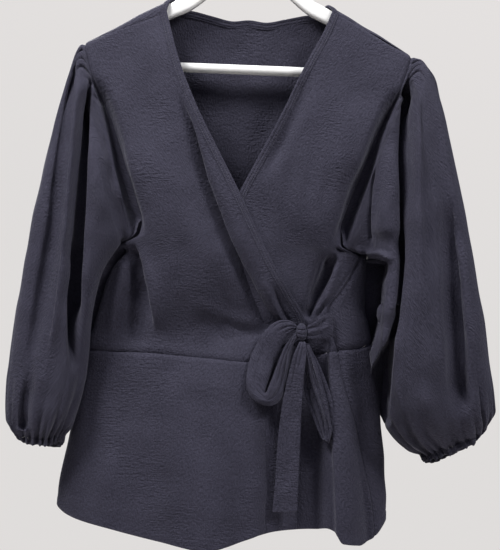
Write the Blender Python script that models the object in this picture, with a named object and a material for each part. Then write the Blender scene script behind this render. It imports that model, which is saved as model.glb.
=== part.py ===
"""Wrap top on a clothes hanger: peplum blouse with balloon sleeves, tied at the side in a bow.

Sizes in the tables are millimetres. "down" is the distance below the hook's resting point, which is the
origin. X runs to the viewer's right, the front faces -Y, and +Z is up.
"""

import math

import bpy
import numpy as np

MM = 0.001

# ---------------------------------------------------------------- driving dimensions, millimetres
VIEW_FROM = (13.6, 1650.0, -446.4)  # x, distance in front, level: where the tables' sizes are seen from
CLOTH = 1.2  # thickness of a cloth wall
SEAM_GAP = 0.3  # space left between two sewn pieces
LAYER = 5.2  # how far the upper wrap lies in front of the under wrap
SINK = 5.0  # how much further back the under wrap lies where it is covered
NECK_X = 103.0  # neck point, either side
NECK_DOWN = 112.0
TIP_X = 203.0  # shoulder tip, either side
TIP_DOWN = 168.0
NECK_RISE = 0.50  # how the shoulder line runs on towards the hook, inside the neck
CREST_R = 9.0  # radius of the cloth where it bends over the hanger
KNOT_X = 79.0  # where the wrap closes
BAND_WIDTH = 8.0
BAND_WALL = 0.9
BAND_OVER = 1.3  # how far the binding stands past the cloth's edge
TIE_WALL = 1.6

# Torso outline from the front. Above the underarm it is the ellipse that the armholes are cut from.
TORSO = {
    "down": (60, 110, 168, 240, 300, 360, 415, 437, 457, 487, 517, 546, 565, 604, 664, 726, 800),
    "left": (
        -330, -300, -262, -226, -202, -180, -163, -170, -178, -184, -188, -188, -188, -193, -203, -213, -215,
    ),
    "right": (330, 300, 262, 226, 202, 178, 157, 156, 156, 157, 164, 170, 173, 179, 187, 193, 194),
}
# Fullness of the cloth below the shoulder line, in front of and behind the hanger.
FULLNESS = {
    "below": (0, 40, 100, 200, 300, 380, 430, 520, 600, 720),
    "front": (0, 8, 17, 25, 29, 27, 24, 33, 42, 50),
    "back": (0, 5, 10, 14, 15, 13, 12, 18, 25, 32),
}
# Front armholes, from the shoulder tip to the underarm. One row for each row of the front bodices.
ARMHOLE_FRONT = {
    "left_x": (-203, -196, -189, -178, -168, -159, -151, -142, -134, -127.5, -150),
    "left_down": (168, 191, 213, 238, 264, 292, 322, 352, 378, 401, 416),
    "right_x": (203, 196, 187, 177, 167, 158, 149, 140, 132, 125.5, 149),
    "right_down": (168, 191, 217, 244, 270, 298, 326, 354, 381, 406, 419),
}
ARMHOLE_BACK = {
    "x": (203, 198, 194, 189, 185, 180, 175, 170, 165, 160, 150),
    "down": (168, 191, 213, 238, 264, 292, 322, 352, 378, 401, 417.5),
}
# Side seams below the underarm. The right one is drawn forward by the tie.
SIDE_SEAM = {
    "left_down": (416, 432, 452, 480, 520, 760),
    "left_turn": (25.0, 14.0, 6.0, 1.5, 0.0, 0.0),  # degrees forward of the torso's side
    "right_down": (419, 440, 463, 488, 512, 535, 572, 621, 682, 720, 765),
    "right_x": (149, 140, 126, 112, 117, 125, 134, 151, 166, 176, 181),
}
# Neckline edges of the two fronts, from the neck point down to where they are tied or hidden.
OVER_EDGE = {
    "down": (113, 136, 188, 247, 295, 342, 381, 432, 475, 500, 530),
    "x": (-103, -99.5, -84, -58, -32, -6, 14, 41, 68, 82, 80),
}
UNDER_EDGE = {
    "down": (113, 128, 142, 190, 248, 285, 319, 348, 400, 460, 548),
    "x": (103, 99.5, 94, 70, 45, 27, 10, -4, -28, -52, -76),
}
BACK_NECK = {  # x against how far behind the shoulder line the edge lies, along the cloth
    "x": (-103, -99.5, -95.5, -90, -80, -71, -43, 0, 43, 71, 80, 90, 95.5, 99.5, 103),
    "behind": (-19, -8, 2, 12, 24, 30, 50, 73.5, 50, 30, 24, 13, 4, -4, -11),
}
PEPLUM_OVER_EDGE = {"down": (500, 560, 640, 770), "x": (82, 79, 80, 84)}
PEPLUM_UNDER_EDGE = {"down": (500, 640, 770), "x": (-70, -80, -84)}
WAIST = {  # the seam between bodice and peplum, seen from the front
    "x": (-190, -106, -44, 10, 50, 100, 126, 147, 172),
    "down": (546, 547, 550, 553, 550, 541, 535, 532, 524),
}
WAIST_BACK_DOWN = 540.0
HEM_FRONT = {
    "x": (-214, -203, -185, -145, -85, -28, -12, 8, 27, 46, 81, 123, 131, 137, 146, 160, 175, 185, 194),
    "down": (738, 748, 756, 766, 779, 789, 786, 778, 771, 763, 757, 754, 758, 768, 774, 774, 767, 756, 740),
}
HEM_BACK = {"x": (-214, -120, 0, 120, 194), "down": (738, 742, 744, 743, 740)}
SHOULDER_SEAM = {  # how far the seam lies in front of the shoulder line, along the cloth
    "x": (-203, -150, -103, 103, 150, 203),
    "forward": (3, 13, 19, 11, 8, 3),
}

# Folds: a path of (x, down) points, half-width, and how far the cloth stands out (+) or in (-).
# "ends" is the share of the path over which the fold rises at its start and dies at its end.
TORSO_FOLDS = (
    {"name": "neck_ridge", "path": ((-92, 175), (-48, 285), (0, 388), (56, 488)),
     "half": 15, "out": 7, "ends": (0.3, 0.1)},
    {"name": "neck_valley", "path": ((-118, 190), (-78, 300), (-30, 410), (30, 505)),
     "half": 15, "out": -7, "ends": (0.4, 0.1)},
    {"name": "bust_ridge", "path": ((-120, 250), (-100, 400), (-84, 545)),
     "half": 40, "out": 6, "ends": (0.4, 0.4)},
    {"name": "dart_valley", "path": ((-126, 425), (-120, 480), (-122, 540)),
     "half": 10, "out": -8, "ends": (0.25, 0.2)},
    {"name": "dart_ridge", "path": ((-128, 425), (-108, 470), (-100, 530)),
     "half": 10, "out": 4, "ends": (0.2, 0.3)},
    {"name": "right_roll", "path": ((82, 190), (54, 262), (22, 330)),
     "half": 10, "out": -4, "ends": (0.3, 0.3)},
    {"name": "right_ridge", "path": ((128, 220), (104, 330), (88, 450)),
     "half": 22, "out": 7, "ends": (0.4, 0.3)},
    {"name": "right_valley", "path": ((100, 240), (76, 350), (66, 450)),
     "half": 16, "out": -5, "ends": (0.4, 0.3)},
    {"name": "right_tuck", "path": ((119, 415), (106, 455), (95, 492)),
     "half": 8, "out": -7, "ends": (0.2, 0.3)},
    {"name": "hem_ridge", "path": ((-30, 600), (-28, 700), (-26, 790)),
     "half": 46, "out": 9, "ends": (0.8, 0.0)},
    {"name": "left_flute", "path": ((-150, 600), (-158, 700), (-166, 780)),
     "half": 34, "out": 8, "ends": (0.8, 0.0)},
    {"name": "left_dip", "path": ((-96, 590), (-98, 700), (-102, 790)),
     "half": 30, "out": -5, "ends": (0.8, 0.0)},
    {"name": "bow_trough", "path": ((88, 505), (84, 600), (80, 700), (78, 790)),
     "half": 27, "out": -22, "ends": (0.3, 0.0)},
    {"name": "right_flute", "path": ((128, 515), (139, 620), (149, 700), (154, 790)),
     "half": 16, "out": 16, "ends": (0.4, 0.0)},
)
BACK_FOLDS = (
    {"name": "shoulder_left", "path": ((-130, 200), (-100, 330), (-92, 470)),
     "half": 30, "out": 5, "ends": (0.4, 0.3)},
    {"name": "shoulder_right", "path": ((126, 190), (96, 340), (84, 470)),
     "half": 26, "out": 6, "ends": (0.4, 0.3)},
    {"name": "spine", "path": ((4, 230), (-4, 380), (2, 520)),
     "half": 24, "out": -5, "ends": (0.4, 0.3)},
    {"name": "flute_1", "path": ((-118, 560), (-128, 670), (-136, 760)),
     "half": 24, "out": 12, "ends": (0.8, 0.0)},
    {"name": "flute_2", "path": ((-40, 570), (-44, 670), (-46, 760)),
     "half": 22, "out": 11, "ends": (0.8, 0.0)},
    {"name": "flute_3", "path": ((36, 560), (42, 670), (46, 760)),
     "half": 24, "out": 12, "ends": (0.8, 0.0)},
    {"name": "flute_4", "path": ((108, 570), (120, 670), (128, 760)),
     "half": 22, "out": 10, "ends": (0.8, 0.0)},
    {"name": "dip_1", "path": ((-80, 570), (-84, 670), (-88, 760)),
     "half": 18, "out": -9, "ends": (0.8, 0.0)},
    {"name": "dip_2", "path": ((0, 570), (-1, 670), (-2, 760)),
     "half": 18, "out": -9, "ends": (0.8, 0.0)},
    {"name": "dip_3", "path": ((72, 570), (80, 670), (86, 760)),
     "half": 18, "out": -8, "ends": (0.8, 0.0)},
)

# Sleeves: one row for each ring below the armhole. "o" is the outer end of the ring and "i" the inner end.
SLEEVE_LEFT = {
    "ox": (-206, -213, -220, -227.5, -237, -246, -254, -261, -267, -273, -277, -279.5, -278.5, -275, -269),
    "od": (168, 184, 208, 239, 282, 328, 376, 424, 471, 516, 556, 590, 619, 644, 659),
    "oy": (0, 2, 5, 8, 10, 12, 13, 13, 13, 12, 10, 8, 6, 4, 2),
    "ix": (-150, -147, -148, -155, -165, -172, -176, -179, -181, -182, -183, -186, -192, -199, -206),
    "id": (413, 412, 415, 426, 442, 460, 482, 506, 530, 553, 575, 596, 621, 644, 661),
    "iy": (-15, -20, -26, -30, -32, -33, -34, -34, -34, -34, -34, -34, -33, -31, -28),
    "front": (14, 19, 24, 28, 30, 31, 31, 31, 32, 33, 35, 37, 38, 36, 32),
    "back": (12, 16, 20, 24, 27, 28, 28, 28, 29, 30, 31, 31, 30, 27, 23),
}
SLEEVE_RIGHT = {
    "ox": (206, 214, 224, 235, 247, 259, 271, 282, 292, 302, 310, 317, 321, 323.5, 323.5),
    "od": (168, 171, 184, 210, 247, 293, 342, 390, 437, 486, 533, 573, 600, 615, 625),
    "oy": (0, 2, 5, 8, 10, 11, 12, 12, 12, 11, 10, 8, 6, 4, 2),
    "ix": (151, 158, 162, 163, 162, 161, 161, 163, 166, 169, 173, 181, 195, 215, 233.5),
    "id": (414, 413, 417, 428, 446, 468, 492, 516, 540, 563, 587, 612, 636, 655, 668),
    "iy": (-13, -14, -14, -13, -12, -12, -15, -22, -28, -32, -34, -33, -28, -19, -9),
    "front": (14, 19, 25, 30, 34, 37, 38, 39, 40, 40, 40, 38, 34, 26, 18),
    "back": (12, 16, 20, 24, 27, 28, 28, 28, 29, 30, 30, 29, 26, 20, 14),
}
SLEEVE_LEFT_FOLDS = (
    {"name": "deep", "path": ((-191, 205), (-199, 245), (-203, 330), (-206, 410), (-203, 470), (-193, 530)),
     "half": 8, "out": -11, "ends": (0.2, 0.25)},
    {"name": "strip", "path": ((-206, 190), (-214, 280), (-218, 400), (-226, 510), (-240, 600)),
     "half": 9, "out": 7, "ends": (0.1, 0.3)},
    {"name": "outer", "path": ((-209, 178), (-218, 230), (-224, 300), (-232, 400), (-246, 500), (-262, 620)),
     "half": 7, "out": -8, "ends": (0.1, 0.25)},
    {"name": "cuff_fold", "path": ((-250, 560), (-258, 610), (-262, 650)),
     "half": 5, "out": -7, "ends": (0.5, 0.1)},
    {"name": "inner", "path": ((-172, 250), (-168, 330), (-160, 395)),
     "half": 14, "out": 6, "ends": (0.3, 0.3)},
)
SLEEVE_RIGHT_FOLDS = (
    {"name": "deep", "path": ((199, 200), (201, 260), (200, 340), (199, 420), (194, 490), (183, 545)),
     "half": 8, "out": -13, "ends": (0.2, 0.25)},
    {"name": "void", "path": ((174, 428), (173, 455), (171, 490), (172, 520)),
     "half": 9, "out": -20, "ends": (0.1, 0.3)},
    {"name": "strip", "path": ((214, 195), (218, 300), (222, 420), (224, 560)),
     "half": 10, "out": 6, "ends": (0.1, 0.4)},
    {"name": "outer", "path": ((221, 190), (236, 260), (252, 360), (262, 470), (274, 560), (280, 640)),
     "half": 9, "out": -7, "ends": (0.2, 0.1)},
    {"name": "outer_ridge", "path": ((232, 200), (258, 330), (282, 460), (300, 590)),
     "half": 10, "out": 4, "ends": (0.2, 0.2)},
    {"name": "inner", "path": ((178, 260), (172, 330), (168, 400)),
     "half": 14, "out": 6, "ends": (0.3, 0.3)},
)
SLEEVE_COLUMNS = 42  # half of them in front
CUFF_GATHER_OUT = 2.6
HEAD_GATHER_OUT = 2.8
ARMHOLE_STEP = {"left": -13.0, "right": 27.0}  # how much wider the back armhole stands than the front one
FOLD_COLUMN = 10  # the sleeve column along its deep fold
HEAD_SPAN = 80.0  # degrees of the ring, each side of the shoulder, that are gathered
CUFF_PROFILE = ((SEAM_GAP, 0.0), (4.5, 1.2), (9.0, 0.6))  # along the casing against how far it is drawn in

# Hanger: the arm's middle line and section, from the middle to one end.
ARM = {
    "x": (0, 14, 30, 48, 72, 100, 140, 166.7, 167, 179, 179.3, 194, 199),
    "top": (46, 49, 60, 78, 100.3, 115.0, 135.8, 150.3, 150.5, 157.2, 157.4, 166.2, 172),
    "bottom": (78, 80, 88, 102, 121, 134.5, 155.3, 169.3, 202, 202, 176.4, 184.6, 182),
}
ARM_THICK = 13.5
ARM_CORNER = 4.5
BAR_R = 6.0
BAR_DOWN = 192.5
HOOK_WIRE_R = 1.8
HOOK_R = 20.0

# Bow and ties: each ribbon is a row of stations, with the ribbon's two edges seen from the front and how
# far it stands in front of the hanger ("out").
TIE_STRAP = {
    "ax": (116.0, 111, 103, 95, 87.7),
    "ad": (488.5, 489.5, 495, 501, 505.5),
    "bx": (118.5, 113, 104, 96, 87.7),
    "bd": (518, 519.5, 521, 522, 522.5),
    "out": (25.7, 27.6, 31.5, 36.5, 40.5),
}
LOOP_LEFT = {
    "ax": (73, 64, 49, 35, 24, 17, 14, 17.5, 27, 43, 56, 63.5, 66, 69, 73),
    "ad": (505, 500.5, 502, 514, 533, 553, 575, 591, 602, 607, 600, 585, 561, 537, 520),
    "bx": (73, 67.5, 62.5, 58, 53.5, 49, 44.5, 41, 38.5, 39.5, 43.5, 48.5, 55, 62, 73),
    "bd": (511.5, 514, 520, 528, 540, 552, 565, 577, 588, 590, 578, 564, 545, 529, 514.5),
    "off": (3.6, 3.4, 3.4, 3.4, 3.4, 3.6, 4, 5, 7, 10, 11.5, 12, 12, 11, 10),
}
LOOP_RIGHT = {
    "ax": (82, 84, 85, 86, 90, 97, 104, 110, 114, 117, 116, 108, 99, 90, 84),
    "ad": (528.5, 548, 566, 584, 601, 616, 632, 644, 648, 645, 634, 612, 588, 562, 533),
    "bx": (90, 96, 105, 113, 120, 124, 125, 122, 117, 119, 121, 117, 110, 101, 90),
    "bd": (528.5, 540, 556, 574, 592, 610, 626, 640, 650, 646, 632, 606, 582, 556, 530),
    "off": (5, 4.5, 4, 3.5, 3.4, 3.4, 3.6, 4.8, 7.5, 10.5, 12, 12.5, 12, 11.5, 10),
}
TAIL_FRONT = {
    "ax": (77.4, 76.4, 72, 68, 64, 60, 57, 55.5, 55, 54, 53),
    "ad": (526.5, 530, 540, 556, 578, 602, 632, 662, 690, 714, 737),
    "bx": (85.4, 86.2, 87, 86, 84.5, 83.5, 83, 83, 83, 83, 83.5),
    "bd": (526.5, 530, 540, 556, 578, 602, 632, 662, 690, 714, 735),
    "out": (43.2, 45.4, 47.2, 48.4, 48.8, 49, 49.2, 49.8, 50.8, 52, 53),
}
TAIL_BACK = {
    "ax": (74.5, 68, 64, 61, 58.5, 58, 58, 58.5),
    "ad": (525.9, 542, 560, 584, 612, 646, 680, 706),
    "bx": (81.2, 82.6, 84, 84.5, 84, 84, 84, 84.5),
    "bd": (525.9, 542, 560, 584, 612, 646, 680, 703),
    "out": (38.8, 37, 36.6, 37, 38.6, 41.5, 44.6, 47),
}
TIE_FLOOR = 33.0  # ties bridge hollows shallower than this
KNOT = {"left": 73.0, "right": 87.0, "top": 503.5, "bottom": 525.5, "out": 39.7, "half_deep": 6.5}


# ---------------------------------------------------------------- reading the tables
def smooth(xs, ys, at):
    """A curve through the points (xs, ys), with no overshoot, read at the given places."""
    xs, ys, at = np.asarray(xs, float), np.asarray(ys, float), np.asarray(at, float)
    steps = np.diff(ys) / np.diff(xs)
    slopes = np.zeros(len(xs))
    same_sign = steps[1:] * steps[:-1] > 0
    mean = 2 * steps[1:] * steps[:-1] / np.where(same_sign, steps[1:] + steps[:-1], 1)
    slopes[1:-1] = np.where(same_sign, mean, 0)
    slopes[0], slopes[-1] = steps[0], steps[-1]
    at = np.clip(at, xs[0], xs[-1])
    i = np.clip(np.searchsorted(xs, at) - 1, 0, len(xs) - 2)
    width = xs[i + 1] - xs[i]
    t = (at - xs[i]) / width
    return (
        (2 * t**3 - 3 * t**2 + 1) * ys[i]
        + (t**3 - 2 * t**2 + t) * width * slopes[i]
        + (3 * t**2 - 2 * t**3) * ys[i + 1]
        + (t**3 - t**2) * width * slopes[i + 1]
    )


def ramp(t):
    t = np.clip(t, 0, 1)
    return t * t * (3 - 2 * t)


def unit(vectors):
    return vectors / np.maximum(np.linalg.norm(vectors, axis=-1, keepdims=True), 1e-9)


def relief(folds, x, down):
    """How far the folds move the cloth out, at points of the front view."""
    total = np.zeros(np.shape(x))
    for fold in folds:
        path = np.array(fold["path"], float)
        lengths = np.hypot(*np.diff(path, axis=0).T)
        along = np.concatenate([[0], np.cumsum(lengths)])
        nearest = np.full(np.shape(x), 1e9)
        place = np.zeros(np.shape(x))
        for k, length in enumerate(lengths):
            step = (path[k + 1] - path[k]) / length
            t = np.clip((x - path[k, 0]) * step[0] + (down - path[k, 1]) * step[1], 0, length)
            gap = np.hypot(x - path[k, 0] - t * step[0], down - path[k, 1] - t * step[1])
            closer = gap < nearest
            nearest = np.where(closer, gap, nearest)
            place = np.where(closer, (along[k] + t) / along[-1], place)
        rise, die = fold["ends"]
        share = ramp(place / rise) if rise else 1.0
        share = share * (ramp((1 - place) / die) if die else 1.0)
        total = total + fold["out"] * share * np.exp(-((nearest / fold["half"]) ** 2))
    return total


# ---------------------------------------------------------------- the torso's surface
def crest_down(x):
    """The shoulder line, where the cloth bends over the hanger."""
    slope = (TIP_DOWN - NECK_DOWN) / (TIP_X - NECK_X)
    return NECK_DOWN + np.where(abs(x) > NECK_X, slope * (abs(x) - NECK_X), NECK_RISE * (abs(x) - NECK_X))


def along_cloth(x, down):
    """Distance from the shoulder line down the cloth to a point, from its level."""
    fall = np.maximum(down - crest_down(x), 0)
    bend = CREST_R * np.arccos(np.clip(1 - fall / CREST_R, 0, 1))
    return np.where(fall < CREST_R, bend, fall + (math.pi / 2 - 1) * CREST_R)


def ring_at(down):
    left = smooth(TORSO["down"], TORSO["left"], down)
    right = smooth(TORSO["down"], TORSO["right"], down)
    return (left + right) / 2, (right - left) / 2


def x_at(angle, level):
    middle, half = ring_at(level)
    return middle + half * np.cos(angle)


def angle_of(x, down, face):
    """The ring angle of a point: 0 at the right side, a quarter turn at the front, a half at the left."""
    middle, half = ring_at(down)
    turn = np.arccos(np.clip((x - middle) / half, -1, 1))
    return turn if face > 0 else 2 * math.pi - turn


def torso(angle, nominal, layer=""):
    """Points of the torso's cloth. nominal is the level reached if the cloth didn't bend over the hanger."""
    middle, half = ring_at(nominal)
    x = middle + half * np.cos(angle)
    face = np.where(np.sin(angle) >= 0, 1.0, -1.0)
    edge = abs(np.sin(angle))
    run = nominal - crest_down(x)
    face = np.where(run < 0, -face, face)
    run = abs(run)
    bend = np.clip(run / CREST_R, 0, math.pi / 2)
    fall = CREST_R * (1 - np.cos(bend)) + np.maximum(run - CREST_R * math.pi / 2, 0)
    beyond_edge = smooth(OVER_EDGE["down"], OVER_EDGE["x"], nominal - SHIFT) - x
    covered = ramp(beyond_edge / 40) * ramp((nominal - 330) / 50)
    folds = relief(TORSO_FOLDS, x, nominal) * (1 - 0.7 * covered if layer == "under" else 1)
    front = smooth(FULLNESS["below"], FULLNESS["front"], fall) + folds
    back = smooth(FULLNESS["below"], FULLNESS["back"], fall) + relief(BACK_FOLDS, x, nominal)
    loose = np.where(face > 0, front, back) * ramp(run / (2.5 * CREST_R))
    if layer == "over":
        loose = loose + LAYER * ramp((x + 152) / 60) * ramp((run - 20) / 50)
    if layer == "under":
        loose = loose - SINK * covered
    closing = 1 - (1 - edge) * ramp((nominal - 290) / 110)
    depth = closing * CREST_R * np.sin(bend) + edge * loose
    return np.stack([x, -face * depth, -(crest_down(x) + fall)], axis=-1)


def torso_patch(angle, nominal, layer=""):
    """Points and unit normals of a patch of the torso's cloth."""
    angle, nominal = np.asarray(angle, float), np.asarray(nominal, float)
    points = torso(angle, nominal, layer)
    turn = torso(angle + 0.01, nominal, layer) - torso(angle - 0.01, nominal, layer)
    fall = torso(angle, nominal + 1.0, layer) - torso(angle, nominal - 1.0, layer)
    normal = np.cross(turn, fall)
    normal /= np.maximum(np.linalg.norm(normal, axis=-1, keepdims=True), 1e-9)
    across = np.gradient(points, axis=1)
    along = np.gradient(points, axis=0)
    if np.mean(np.sum(np.cross(across, along) * normal, axis=-1)) < 0:
        normal = -normal
    return points, normal


def nominal_down(x, down):
    """The level to ask torso() for so that the point comes out at the level down."""
    return crest_down(x) + along_cloth(x, down)


def quilt(outer, edge, columns, band=0.0):
    """Angles and levels of a panel's grid, from its two edges and the columns' shares of the way between.

    With a band, the last but one column lies that far in from the second edge.
    """
    angles, levels = [], []
    for (first_angle, first_level), (last_angle, last_level) in zip(outer, edge):
        shares = columns
        if band:
            width = abs(x_at(last_angle, last_level) - x_at(first_angle, first_level))
            shares = np.append(columns[:-1] / columns[-2] * (1 - band / width), 1.0)
        angle = first_angle + (last_angle - first_angle) * shares
        x = x_at(angle, first_level + (last_level - first_level) * shares)
        by_x = (x - x[0]) / (x[-1] - x[0]) if band else shares
        angles.append(angle)
        levels.append(first_level + (last_level - first_level) * by_x)
    return np.array(angles), np.array(levels)


# ---------------------------------------------------------------- meshes
def normals_of(points, closed):
    """Unit normals of a grid of points, rows by columns."""
    if closed:
        across = np.roll(points, -1, axis=1) - np.roll(points, 1, axis=1)
    else:
        across = np.gradient(points, axis=1)
    along = np.gradient(points, axis=0)
    normal = np.cross(across, along)
    return normal / np.maximum(np.linalg.norm(normal, axis=-1, keepdims=True), 1e-9)


def trimmed(angles, levels, layer=""):
    """Angles and levels of a grid drawn in at its four edges by half a seam gap, measured on the surface."""
    angles, levels = angles.copy(), levels.copy()
    half = SEAM_GAP / 2
    whole = slice(None)
    sides = (((whole, 0), (whole, 1)), ((whole, -1), (whole, -2)))
    ends = (((0, whole), (1, whole)), ((-1, whole), (-2, whole)))
    for edge, inner in sides + ends:
        start = torso(angles, levels, layer)[edge]
        turn, fall = angles[inner] - angles[edge], levels[inner] - levels[edge]
        share = np.full(np.shape(turn), 0.02)
        for _ in range(3):
            moved = torso(angles[edge] + turn * share, levels[edge] + fall * share, layer)
            share = share * half / np.maximum(np.linalg.norm(moved - start, axis=-1), 1e-4)
        angles[edge] += turn * share
        levels[edge] += fall * share
    return angles, levels


def true_size(points):
    """The tables hold sizes as they look from VIEW_FROM. Cloth nearer than the hanger is really smaller."""
    points = np.array(points, float)
    share = 1 + np.minimum(points[..., 1] + CREST_R + 1, 0) / VIEW_FROM[1]
    points[..., 0] = VIEW_FROM[0] + (points[..., 0] - VIEW_FROM[0]) * share
    points[..., 2] = VIEW_FROM[2] + (points[..., 2] - VIEW_FROM[2]) * share
    return points


def make_object(name, points, faces, material, smooth_angle=50, drawn=True):
    mesh = bpy.data.meshes.new(name)
    real = true_size(points) if drawn else np.asarray(points, float)
    fans = [(f[0], f[k], f[k + 1]) for f in faces for k in range(1, len(f) - 1)]
    volume = sum(np.dot(real[a], np.cross(real[b], real[c])) for a, b, c in fans)
    if volume < 0:
        faces = [f[::-1] for f in faces]
    mesh.from_pydata([tuple(p * MM) for p in real], [], faces)
    mesh.validate()
    obj = bpy.data.objects.new(name, mesh)
    bpy.context.scene.collection.objects.link(obj)
    mesh.materials.append(material)
    mesh.shade_smooth()
    mesh.set_sharp_from_angle(angle=math.radians(smooth_angle))
    return obj


def wall(name, points, material, thickness=CLOTH, closed=False, normals=None):
    """A cloth wall: the grid moved out and in by half its thickness, with rims.

    Both sides split their cells alike.
    """
    rows, columns = points.shape[:2]
    if normals is None:
        normals = normals_of(points, closed)
    outer = (points + normals * thickness / 2).reshape(-1, 3)
    inner = (points - normals * thickness / 2).reshape(-1, 3)
    count = rows * columns
    faces = []
    for r in range(rows - 1):
        for c in range(columns if closed else columns - 1):
            d = (c + 1) % columns
            a, b = r * columns + c, r * columns + d
            f, e = (r + 1) * columns + c, (r + 1) * columns + d
            faces += [(a, b, e), (a, e, f)]
            faces += [(a + count, e + count, b + count), (a + count, f + count, e + count)]
    rim = []
    if closed:
        for c in range(columns):
            d = (c + 1) % columns
            rim.append((d, c))
            rim.append(((rows - 1) * columns + c, (rows - 1) * columns + d))
    else:
        rim += [(c + 1, c) for c in range(columns - 1)]
        rim += [((rows - 1) * columns + c, (rows - 1) * columns + c + 1) for c in range(columns - 1)]
        rim += [(r * columns, (r + 1) * columns) for r in range(rows - 1)]
        rim += [((r + 2) * columns - 1, (r + 1) * columns - 1) for r in range(rows - 1)]
    for a, b in rim:
        faces += [(a, b, b + count), (a, b + count, a + count)]
    return make_object(name, np.concatenate([outer, inner]), faces, material)


def swept(name, sections, material, smooth_angle=40, drawn=True):
    """A closed body through sections of equal point counts, with fan caps."""
    sections = np.asarray(sections, float)
    count, sides = sections.shape[:2]
    points = sections.reshape(-1, 3)
    faces = []
    for s in range(count - 1):
        for k in range(sides):
            n = (k + 1) % sides
            a, b, c, d = s * sides + k, s * sides + n, (s + 1) * sides + n, (s + 1) * sides + k
            faces += [(a, b, c), (a, c, d)]
    last = (count - 1) * sides
    ends = range(1, sides - 1)
    faces += [(0, k + 1, k) for k in ends] + [(last, last + k, last + k + 1) for k in ends]
    return make_object(name, points, faces, material, smooth_angle, drawn)


def cloth_material(name, colour, roughness):
    material = bpy.data.materials.new(name)
    material.use_nodes = True
    shader = material.node_tree.nodes["Principled BSDF"]
    shader.inputs["Base Color"].default_value = (*colour, 1)
    shader.inputs["Roughness"].default_value = roughness
    return material


# ---------------------------------------------------------------- bodices
def armhole_rows(x, down, face):
    """(angle, level) of an armhole's points."""
    rows = []
    for one_x, one_down in zip(x, down):
        level = float(nominal_down(one_x, one_down))
        rows.append((float(angle_of(one_x, level, face)), level))
    return rows


def seam_levels(first, last, count):
    return first + (last - first) * np.linspace(0, 1, count + 1)[1:] ** 1.4


def side_angle(down, side):
    """Ring angle of a side seam at a level."""
    if side == "left":
        return math.pi - math.radians(float(smooth(SIDE_SEAM["left_down"], SIDE_SEAM["left_turn"], down)))
    return float(angle_of(smooth(SIDE_SEAM["right_down"], SIDE_SEAM["right_x"], down), down + SHIFT, 1))


FRONT_EXTRA = (0.5, 1.0)  # rows added where the cloth bends over the hanger
BACK_EXTRA = (-0.66, -0.33, 0.0, 6.0, 12.0, 18.0)
SIDE_ROWS = 6  # rows of a bodice below the underarm
SHIFT = (math.pi / 2 - 1) * CREST_R  # nominal level less real level, well below the shoulder line


def side_rows(side, armhole_end, waist):
    """Rows of a side seam, from just below the underarm to the waist."""
    rows = []
    for down in seam_levels(armhole_end, waist, SIDE_ROWS):
        rows.append((side_angle(float(down), side), float(down) + SHIFT))
    return rows


def waist_down(x, face):
    front = smooth(WAIST["x"], WAIST["down"], x)
    middle, half = ring_at(546.0)
    edge = np.clip(1 - ((x - middle) / half) ** 2, 0, 1)
    back = front + (WAIST_BACK_DOWN - front) * ramp(edge * 2)
    return np.where(np.asarray(face) > 0, front, back)


def waist_blend(angles, levels, lift_row):
    """Bends the lowest rows of a bodice to the waist seam's curve."""
    x = ring_at(levels[-1])[0] + ring_at(levels[-1])[1] * np.cos(angles[-1])
    face = np.where(np.sin(angles[-1]) >= 0, 1, -1)
    target = waist_down(x, face) + SHIFT if lift_row is None else lift_row
    change = target - levels[-1]
    count = len(levels)
    for r in range(count):
        share = ramp((r - (count - 1 - SIDE_ROWS)) / SIDE_ROWS)
        levels[r] = levels[r] + change * share
    return levels


def edge_rows(edge, fractions, face=1):
    """(angle, level) of a neckline edge at shares of the way down it."""
    first, last = edge["down"][0], edge["down"][-1]
    rows = []
    for share in fractions:
        down = first + (last - first) * share
        x = float(smooth(edge["down"], edge["x"], down))
        level = float(nominal_down(x, down))
        rows.append((float(angle_of(x, level, face)), level))
    return rows


def shoulder_row(x):
    """(angle, level) on the shoulder seam, for the fronts."""
    forward = smooth(SHOULDER_SEAM["x"], SHOULDER_SEAM["forward"], x)
    level = float(crest_down(x) + forward)
    return float(angle_of(x, level, 1)), level


def front_grid(side, columns):
    """Angles and levels of a front bodice: "left" is the upper wrap and "right" the lower one."""
    armhole = armhole_rows(ARMHOLE_FRONT[side + "_x"], ARMHOLE_FRONT[side + "_down"], 1)
    over = side == "left"
    end = ARMHOLE_FRONT[side + "_down"][-1]
    armhole[-1] = (side_angle(end, side), end + SHIFT)
    outer_x = -188 if over else 126
    outer = armhole + side_rows(side, end, float(smooth(WAIST["x"], WAIST["down"], outer_x)))
    levels = np.array([level for _, level in outer])
    fractions = (levels - levels[0]) / (levels[-1] - levels[0])
    edge = edge_rows(OVER_EDGE if over else UNDER_EDGE, fractions)
    sign = -1 if over else 1
    outer[0] = shoulder_row(sign * TIP_X)
    edge[0] = shoulder_row(sign * NECK_X)
    angles, nominal = quilt(outer, edge, columns, BAND_WIDTH * 1.2)
    x = ring_at(nominal[0])[0] + ring_at(nominal[0])[1] * np.cos(angles[0])
    nominal[0] = crest_down(x) + smooth(SHOULDER_SEAM["x"], SHOULDER_SEAM["forward"], x)
    bottom = nominal[-1].copy()
    x = ring_at(bottom)[0] + ring_at(bottom)[1] * np.cos(angles[-1])
    if over:
        target = waist_down(x, 1) + SHIFT
        target = target + (bottom[-1] - target) * ramp((x - 10) / (KNOT_X - 10))
    else:
        target = waist_down(x, 1) + SHIFT
    return with_shoulder_rows(angles, waist_blend(angles, nominal, target), 1, FRONT_EXTRA)


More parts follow.
